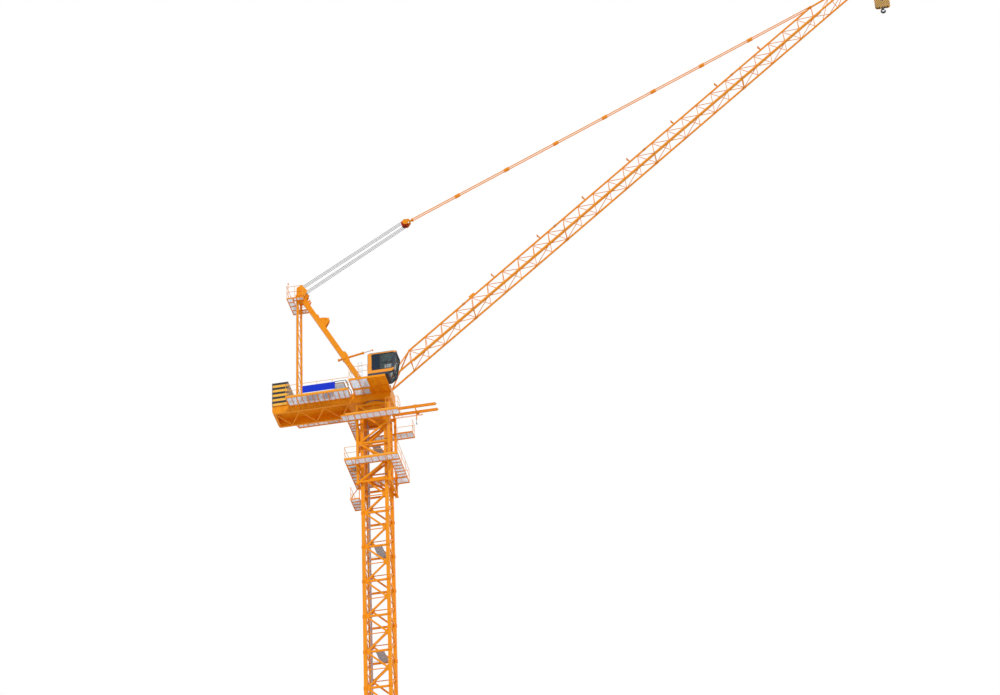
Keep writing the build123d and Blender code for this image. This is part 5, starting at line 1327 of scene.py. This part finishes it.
class CRANE_OT_aframe(bpy.types.Operator):
    """Brackets, rope guide and ladder of the A-frame, rims of its sheaves, and lamps"""

    bl_idname = "crane.aframe"
    bl_label = "A-frame pieces"

    def execute(self, context):
        self.leg_pieces()
        self.ladders()
        self.lamps()
        return {"FINISHED"}

    def leg(self, along, rise):
        """A place in X and Z from the distance down the front leg and out from its middle line."""
        way = (LEG_FOOT - LEG_HEAD).normalized()
        point = LEG_HEAD + way * along + Vector((-way.z, 0, way.x)) * rise
        return point.x, point.z

    def leg_plate(self, shape, places, y, thickness=0.008):
        shape.plate([self.leg(along, rise) for along, rise in places], y, y + thickness)

    def leg_pieces(self):
        """Brackets of the front leg, the rope guide on it, and the rims of the head's sheaves."""
        brackets = Shape()
        skin = 0.09
        for along, rise in ((-0.030, 0.270), (0.225, 0.240)):
            for y in (-0.095, 0.087):
                self.leg_plate(brackets, [(along - 0.02, skin), (along + 0.12, skin), (along, rise)], y)
            brackets.axle(*self.leg(along + 0.01, rise - 0.05), -0.105, 0.105, 0.018, 14)
        cheek = [(3.28, skin), (3.34, 0.16), (3.55, 0.17), (3.78, 0.10), (3.90, -skin), (3.15, -skin)]
        for y in (-0.125, 0.117):
            self.leg_plate(brackets, cheek, y)
        self.leg_plate(brackets, [(0.98, skin), (1.15, skin), (1.12, 0.135), (1.03, 0.150)], -0.050, 0.100)
        guide = [(1.22, skin), (1.76, skin), (1.70, 0.18), (1.58, 0.36), (1.46, 0.42), (1.30, 0.24)]
        for y in (-0.070, 0.060):
            self.leg_plate(brackets, guide, y, 0.010)
        for low in (0.8, 1.95, 2.9, 3.85, 4.7):
            high = low + 0.012
            for y in (-0.123, 0.115):
                self.leg_plate(brackets, [(low, -0.085), (high, -0.085), (high, 0.085), (low, 0.085)], y)
        for side in (-1, 1):
            y = side * 0.202
            brackets.axle(HEAD.x, HEAD.z, y, y + side * 0.016, 0.085, 24)
            brackets.axle(HEAD.x, HEAD.z, y + side * 0.016, y + side * 0.030, 0.048, 6)
        brackets.piece("aframe_brackets", "superstructure", "orange_paint", finish_named("orange paint"))

        rims = Shape()
        for sheave in (-1, 0, 1):
            for side in (-1, 1):
                y = sheave * SHEAVE_PITCH + side * 0.014
                rims.rim((HEAD.x, y, HEAD.z), side, HEAD_RADIUS - 0.004, HEAD_RADIUS + 0.018, 40)
        x, z = self.leg(1.47, 0.27)
        groove = [(0.095, 0.0), (0.095, 0.006), (0.080, 0.016)]
        groove += [(0.080, 0.024), (0.095, 0.034), (0.095, 0.040)]
        rims.lathe((x, 0.020, z), (0, -1, 0), groove, 36)
        rims.axle(x, z, -0.075, 0.075, 0.018, 14)
        red = finish_named("sheave red", painted, (0.55, 0.012, 0.006), 0.3, 3.0)
        rims.piece("aframe_sheave_rims", "superstructure", "hook_steel", red, smooth=True)

    def ladders(self):
        """The ladder up to the slewing frame, and the long one behind the rear legs."""
        ladder = Shape(DECK)
        rear, front, y = -0.560, -0.400, -0.600
        for x in (rear, front):
            ladder.bar((x, y, 0), (x, y, 1.480), 0.022)
        for rung in range(10):
            z = 0.12 + rung * 0.145
            ladder.rod((rear, y, z), (front, y, z), 0.008, 8)
        x, half = REAR_LEG - 0.108, 0.085
        for y in (-half, half):
            ladder.bar((x, y, 0.10), (x, y, HEAD_DECK - DECK + 0.35), 0.016)
        for rung in range(32):
            ladder.axle(x, 0.20 + rung * 0.150, -half, half, 0.006, 6)
        for z in (0.6, 1.9, 3.2, 4.4):
            for y in (-half, half):
                ladder.bar((x, y, z), (REAR_LEG - 0.030, y * 3.4, z), 0.012)
        zinc_and_sky_light = finish_named("galvanised grating")
        ladder.piece("access_ladders", "superstructure", "grating", zinc_and_sky_light)

    def lamps(self):
        """Warning lamps on the corner posts of the head's platform, a walkway and the cab's platform."""
        lamps = Shape()
        rise, inset = 0.55, 0.011
        outline = [(0.010, 0.0), (0.020, 0.004), (0.020, 0.030), (0.012, 0.042), (0.004, 0.046)]
        for x, y, z in (
            (HEAD_REAR + inset, -HEAD_OUTER + inset, HEAD_DECK + rise),
            (HEAD_REAR + inset, HEAD_OUTER - inset, HEAD_DECK + rise),
            (WALKWAY_REAR + inset, -WALKWAY_OUTER + inset, WALKWAY + rise),
            (PLATFORM_REAR + inset, PLATFORM_OUTER + inset, DECK + rise),
        ):
            lamps.lathe((x, y, z), (0, 0, 1), outline, 16)
        red = finish_named("lamp red", plain_plastic, (0.60, 0.03, 0.01), 0.25)
        lamps.piece("warning_lamps", "superstructure", "orange_paint", red, smooth=True)


class CRANE_OT_cab(bpy.types.Operator):
    """Window frames, side panel, door fittings, wiper and lamps of the cab, and its seat and controls"""

    bl_idname = "crane.cab"
    bl_label = "Cab pieces"

    def execute(self, context):
        self.windows()
        self.panels(context)
        self.seat()
        self.fittings()
        return {"FINISHED"}

    def front(self, share):
        """A place on the middle line of the windscreen, from its knee to the roof."""
        return Vector((1.080, 0, 0.175)).lerp(Vector((1.200, 0, 1.030)), share)

    def windows(self):
        """Dark frames round the side windows and the windscreen."""
        frames = Shape(DECK)
        low, high, post, half = 0.250, 0.970, 0.560, 0.550
        line = [(0.230, low), (0.993, low), (1.093, high), (0.230, high)]
        for face in (CAB_NEAR - 0.003, CAB_FAR + 0.003):
            for index, (x, z) in enumerate(line):
                last_x, last_z = line[index - 1]
                frames.bar((last_x, face, last_z), (x, face, z), 0.022, 0.012, ACROSS)
            frames.bar((post, face, low), (post, face, high), 0.030, 0.012, ACROSS)
            frames.bar((post, face, half), (1.030, face, half), 0.020, 0.010, ACROSS)
            frames.bar((0.800, face, low), (0.800, face, half), 0.018, 0.010, ACROSS)
        lean = Vector((0.120, 0, 0.855)).normalized()
        for share in (0.05, 0.40, 0.93):
            x, _, z = self.front(share)
            frames.bar((x + 0.004, CAB_NEAR + 0.04, z), (x + 0.004, CAB_FAR - 0.04, z), 0.022, 0.016, lean)
        knee, roof = self.front(0), self.front(1)
        for y in (CAB_NEAR + 0.055, CAB_MIDDLE, CAB_FAR - 0.055):
            top = (roof.x - 0.004, y, roof.z - 0.05)
            frames.bar((knee.x + 0.004, y, knee.z + 0.02), top, 0.020, 0.016, ACROSS)
            frames.bar((0.885, y, -0.001), (1.078, y, 0.155), 0.018, 0.014, ACROSS)
        dark = finish_named("dark rubber")
        frames.piece("cab_window_frames", "superstructure", "cab_steel", dark)

    def panels(self, context):
        """Dark side and rear panels, the ceiling, and the floor's mat."""
        near, far = CAB_NEAR, CAB_FAR
        navy = finish_named("cab navy", painted, context.scene.crane_finishes.skirt, 0.2, 3.0)
        panel = Shape(DECK)
        for y in (near + 0.004, far - 0.010):
            panel.box((0.232, y, 0.250), (0.546, y + 0.006, 0.970))
        panel.box((0.090, near + 0.030, 0.030), (0.100, far - 0.030, 1.000))
        panel.piece("cab_side_panels", "superstructure", "cab_steel", navy)
        lining = Shape(DECK)
        lining.box((0.110, near + 0.045, 0.975), (1.080, far - 0.045, 0.985))
        for x in (0.35, 0.70):
            lining.box((x, near + 0.060, 0.968), (x + 0.010, far - 0.060, 0.975))
        lining.box((0.600, near + 0.200, 0.955), (0.760, far - 0.200, 0.975))
        grey = finish_named("cab lining", plain_plastic, (0.085, 0.080, 0.070), 0.7)
        lining.piece("cab_lining", "superstructure", "cab_steel", grey)
        floor = Shape(DECK)
        floor.box((0.110, near + 0.045, CAB_FLOOR), (0.860, far - 0.045, 0.043))
        for step in range(6):
            x = 0.500 + step * 0.060
            floor.box((x, near + 0.080, 0.043), (x + 0.020, far - 0.080, 0.047))
        floor.piece("cab_floor_mat", "superstructure", "orange_paint", finish_named("orange paint"))

    def seat(self):
        """The seat on its column, armrests with a lever each, and a screen."""
        seat = Shape(DECK)
        seat.post(0.460, CAB_MIDDLE, CAB_FLOOR, 0.200, 0.045, 20)
        self.cushion(seat, (0.340, -1.430, 0.200), (0.600, -1.190, 0.265))
        self.cushion(seat, (0.315, -1.425, 0.260), (0.375, -1.195, 0.560))
        self.cushion(seat, (0.325, -1.370, 0.570), (0.370, -1.250, 0.660))
        for side in (-1, 1):
            y = CAB_MIDDLE + side * 0.160
            self.cushion(seat, (0.380, y - 0.040, 0.240), (0.640, y + 0.040, 0.330))
            seat.rod((0.600, y, 0.330), (0.610, y, 0.390), 0.007, 10)
            seat.rod((0.610, y, 0.385), (0.611, y, 0.420), 0.016, 14, 0.011)
        self.cushion(seat, (0.900, -1.020, 0.300), (0.930, -1.000, 0.480))
        cloth = finish_named("seat cloth", plain_plastic, (0.03, 0.03, 0.034), 0.8)
        seat.piece("cab_seat_and_controls", "superstructure", "cab_steel", cloth)

    def cushion(self, shape, low, high):
        """A padded block with bevelled edges."""
        block = Shape(shape.level)
        block.box(low, high)
        edges = block.mesh.edges[:]
        bmesh.ops.bevel(block.mesh, geom=edges, offset=0.012, segments=2, affect="EDGES", profile=0.5)
        shape.add(block.done("cushion"))

    def fittings(self):
        """Hinges and handle of the door, the wiper, two lamps, and rails along the roof."""
        fittings = Shape(DECK)
        near, far = CAB_NEAR, CAB_FAR
        hinge_x, handle_x, handle_y, rail_z = 0.216, 0.520, near - 0.020, 1.060
        for z in (0.36, 0.86):
            fittings.post(hinge_x, near - 0.006, z, z + 0.06, 0.008, 10)
        fittings.post(handle_x, handle_y, 0.40, 0.56, 0.007, 10)
        for z in (0.41, 0.55):
            fittings.axle(handle_x, z, handle_y, near + 0.004, 0.006, 8)
        pivot, tip = self.front(0.12), self.front(0.62)
        fittings.rod((pivot.x + 0.016, CAB_MIDDLE, pivot.z), (tip.x + 0.016, -1.200, tip.z), 0.005, 8)
        fittings.rod((tip.x + 0.012, -1.230, tip.z - 0.13), (tip.x + 0.020, -1.170, tip.z + 0.12), 0.006, 8)
        lamp = [(0.020, 0.0), (0.036, 0.012), (0.038, 0.045), (0.030, 0.048)]
        for y in (near + 0.10, far - 0.10):
            fittings.lathe((1.150, y, 1.034), (0.85, 0, -0.35), lamp, 20)
        for y in (near + 0.030, far - 0.030):
            fittings.rod((0.120, y, rail_z), (1.080, y, rail_z), 0.008, 10)
            for x in (0.120, 0.600, 1.080):
                fittings.post(x, y, 1.028, rail_z, 0.007, 8)
        dark = finish_named("dark rubber")
        fittings.piece("cab_fittings", "superstructure", "cab_steel", dark, smooth=True)


class CRANE_OT_jib(bpy.types.Operator):
    """Pins of the jib's joints, rims and guard of its tip sheave, and brackets of the rope rollers"""

    bl_idname = "crane.jib"
    bl_label = "Jib pieces"

    def execute(self, context):
        steel = finish_named("bare steel")
        pins = Shape()
        chords = ((-JIB_WIDTH / 2, 0, 0.035), (JIB_WIDTH / 2, 0, 0.035), (0, JIB_DEPTH, 0.034))
        overhang, washer = 0.012, Vector((0, 0.003, 0))
        for joint in range(JIB_JOINTS):
            place = FIRST_JOINT + joint * JOINT_PITCH
            for across, up, half in chords:
                for step in (-0.036, 0.036):
                    start = jib_point(place + step, across - half - overhang, up)
                    end = jib_point(place + step, across + half + overhang, up)
                    pins.rod(start, end, 0.013, 12)
                    for point in (start, end):
                        pins.rod(point - washer, point + washer, 0.019, 12)
        pins.piece("jib_joint_pins", "jib", "hook_steel", steel)

        brackets = Shape()
        for index in range(ROLLERS):
            place = FIRST_ROLLER + index * ROLLER_PITCH
            for side in (-1, 1):
                y = side * 0.052
                foot = jib_point(place, y, JIB_DEPTH + 0.030)
                top = jib_point(place, y, JIB_DEPTH + 0.200)
                brackets.bar(foot, top, 0.006, 0.044, ACROSS)
                outer = Vector((0, side * 0.006, 0))
                brackets.rod(top - outer / 3, top + outer, 0.020, 12)
        for side in (-1, 1):
            for along, up in ((JIB_TIP + 0.045, -0.160), (JIB_TIP + 0.040, -0.440)):
                start = jib_point(along, side * 0.030, up)
                brackets.rod(start, jib_point(along, side * 0.066, up), 0.012, 10)
        brackets.piece("roller_brackets", "jib", "orange_paint", finish_named("orange paint"))

        rims = Shape()
        spokes = 6
        for side in (-1, 1):
            rims.rim((TIP.x, side * 0.014, TIP.z), side, TIP_RADIUS - 0.004, TIP_RADIUS + 0.018, 44)
            for spoke in range(spokes):
                angle = 2 * math.pi * spoke / spokes
                out = Vector((math.cos(angle), 0, math.sin(angle)))
                hub = TIP + Vector((0, side * 0.022, 0))
                rims.bar(hub + out * 0.045, hub + out * 0.160, 0.022, 0.006, ACROSS)
        rims.piece("tip_sheave_rims", "jib", "hook_steel", steel, smooth=True)
        return {"FINISHED"}


class CRANE_OT_blocks(bpy.types.Operator):
    """Rims and bolts of the floating block and hook block, and the hook's nut and latch"""

    bl_idname = "crane.blocks"
    bl_label = "Block pieces"

    def execute(self, context):
        self.floating_block()
        self.hook_block()
        self.hook()
        return {"FINISHED"}

    def floating_block(self):
        """Rims of its sheaves, and the bosses of their axle."""
        x, z = BLOCK_SHEAVE.x, BLOCK_SHEAVE.z
        rims = Shape()
        for sheave in (-1, 0, 1):
            for side in (-1, 1):
                y = sheave * SHEAVE_PITCH + side * 0.014
                rims.rim((x, y, z), side, BLOCK_RADIUS - 0.004, BLOCK_RADIUS + 0.016, 36)
        red = finish_named("sheave red")
        rims.piece("floating_block_rims", "floating_block", "hook_steel", red, smooth=True)
        bosses = Shape()
        for side in (-1, 1):
            y = side * 0.144
            bosses.axle(x, z, y, y + side * 0.014, 0.055, 24)
            bosses.axle(x, z, y + side * 0.014, y + side * 0.024, 0.032, 6)
        orange = finish_named("orange paint")
        bosses.piece("floating_block_bosses", "floating_block", "orange_paint", orange)

    def hook_block(self):
        """Rims of its sheave, the bolts of its cheeks, and the axle's ends."""
        steel = finish_named("bare steel")
        rims = Shape()
        for side in (-1, 1):
            rims.rim((TIP.x, side * 0.014, HOOK_SHEAVE), side, TIP_RADIUS - 0.004, TIP_RADIUS + 0.016, 44)
        rims.piece("hook_block_rims", "hook_block", "hook_steel", steel, smooth=True)

        bolts = Shape()
        cheek, wide, narrow = 0.065, 0.27, 0.12
        upper, lower = HOOK_TOP - 0.04, BLOCK_BOTTOM + 0.12
        rows = ((wide, upper), (wide, lower), (narrow, BLOCK_BOTTOM + 0.05))
        places = [
            ((TIP.x + dx, side * cheek, z), (0, side, 0))
            for side in (-1, 1)
            for reach, z in rows
            for dx in (-reach, reach)
        ]
        bolts.studs(places, bolt_piece(0.030, 0.014), steel)
        for side in (-1, 1):
            bolts.axle(TIP.x, HOOK_SHEAVE, side * cheek, side * 0.080, 0.045, 24)
        for dx in (-wide, wide):
            for z in (upper, lower):
                bolts.axle(TIP.x + dx, z, -0.045, 0.045, 0.014, 12)
        bolts.piece("hook_block_bolts", "hook_block", "hook_steel", steel)

    def hook(self):
        """The nut of the hook's shank, and the latch across its mouth."""
        latch = Shape(BLOCK_BOTTOM - 0.0003)
        latch.post(TIP.x, 0, -0.034, -0.012, 0.044, 24)
        latch.post(TIP.x, 0, -0.052, -0.034, 0.036, 24)
        pivot_x, pivot_z, half = TIP.x + 0.030, -0.105, 0.028
        for y in (-half, half):
            latch.bar((pivot_x, y, pivot_z), (TIP.x + 0.084, y * 0.7, -0.176), 0.010, 0.004, ACROSS)
        latch.axle(pivot_x, pivot_z, -0.032, 0.032, 0.006, 10)
        latch.piece("hook_nut_and_latch", "hook", "hook_steel", finish_named("bare steel"))


class CRANE_PT_panel(bpy.types.Panel):
    """The crane's pieces in the order they are made"""

    bl_label = "Tower crane"
    bl_idname = "CRANE_PT_panel"
    bl_space_type = "VIEW_3D"
    bl_region_type = "UI"
    bl_category = "Crane"

    def draw(self, context):
        for operator in OPERATORS:
            self.layout.operator(operator.bl_idname)
        for group in (context.scene.crane_finishes, context.scene.crane_sizes):
            for key in group.bl_rna.properties.keys():
                if key not in ("rna_type", "name"):
                    self.layout.prop(group, key)


OPERATORS = (
    CRANE_OT_stage,
    CRANE_OT_paint,
    CRANE_OT_gratings,
    CRANE_OT_ropes,
    CRANE_OT_mast,
    CRANE_OT_climbing,
    CRANE_OT_counter_jib,
    CRANE_OT_winches,
    CRANE_OT_aframe,
    CRANE_OT_cab,
    CRANE_OT_jib,
    CRANE_OT_blocks,
)
CLASSES = (CraneFinishes, CraneSizes, *OPERATORS, CRANE_PT_panel)


def register():
    for kind in CLASSES:
        bpy.utils.register_class(kind)
    bpy.types.Scene.crane_finishes = bpy.props.PointerProperty(type=CraneFinishes)
    bpy.types.Scene.crane_sizes = bpy.props.PointerProperty(type=CraneSizes)


def unregister():
    del bpy.types.Scene.crane_sizes
    del bpy.types.Scene.crane_finishes
    for kind in reversed(CLASSES):
        bpy.utils.unregister_class(kind)


def main():
    register()
    for operator in OPERATORS:
        getattr(bpy.ops.crane, operator.bl_idname.split(".")[1])()
    boxes = {
        "cad_box": [list(corner) for corner in cad_box],
        "visual_box": [list(corner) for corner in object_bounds()],
    }


if __name__ == "__main__":
    main()
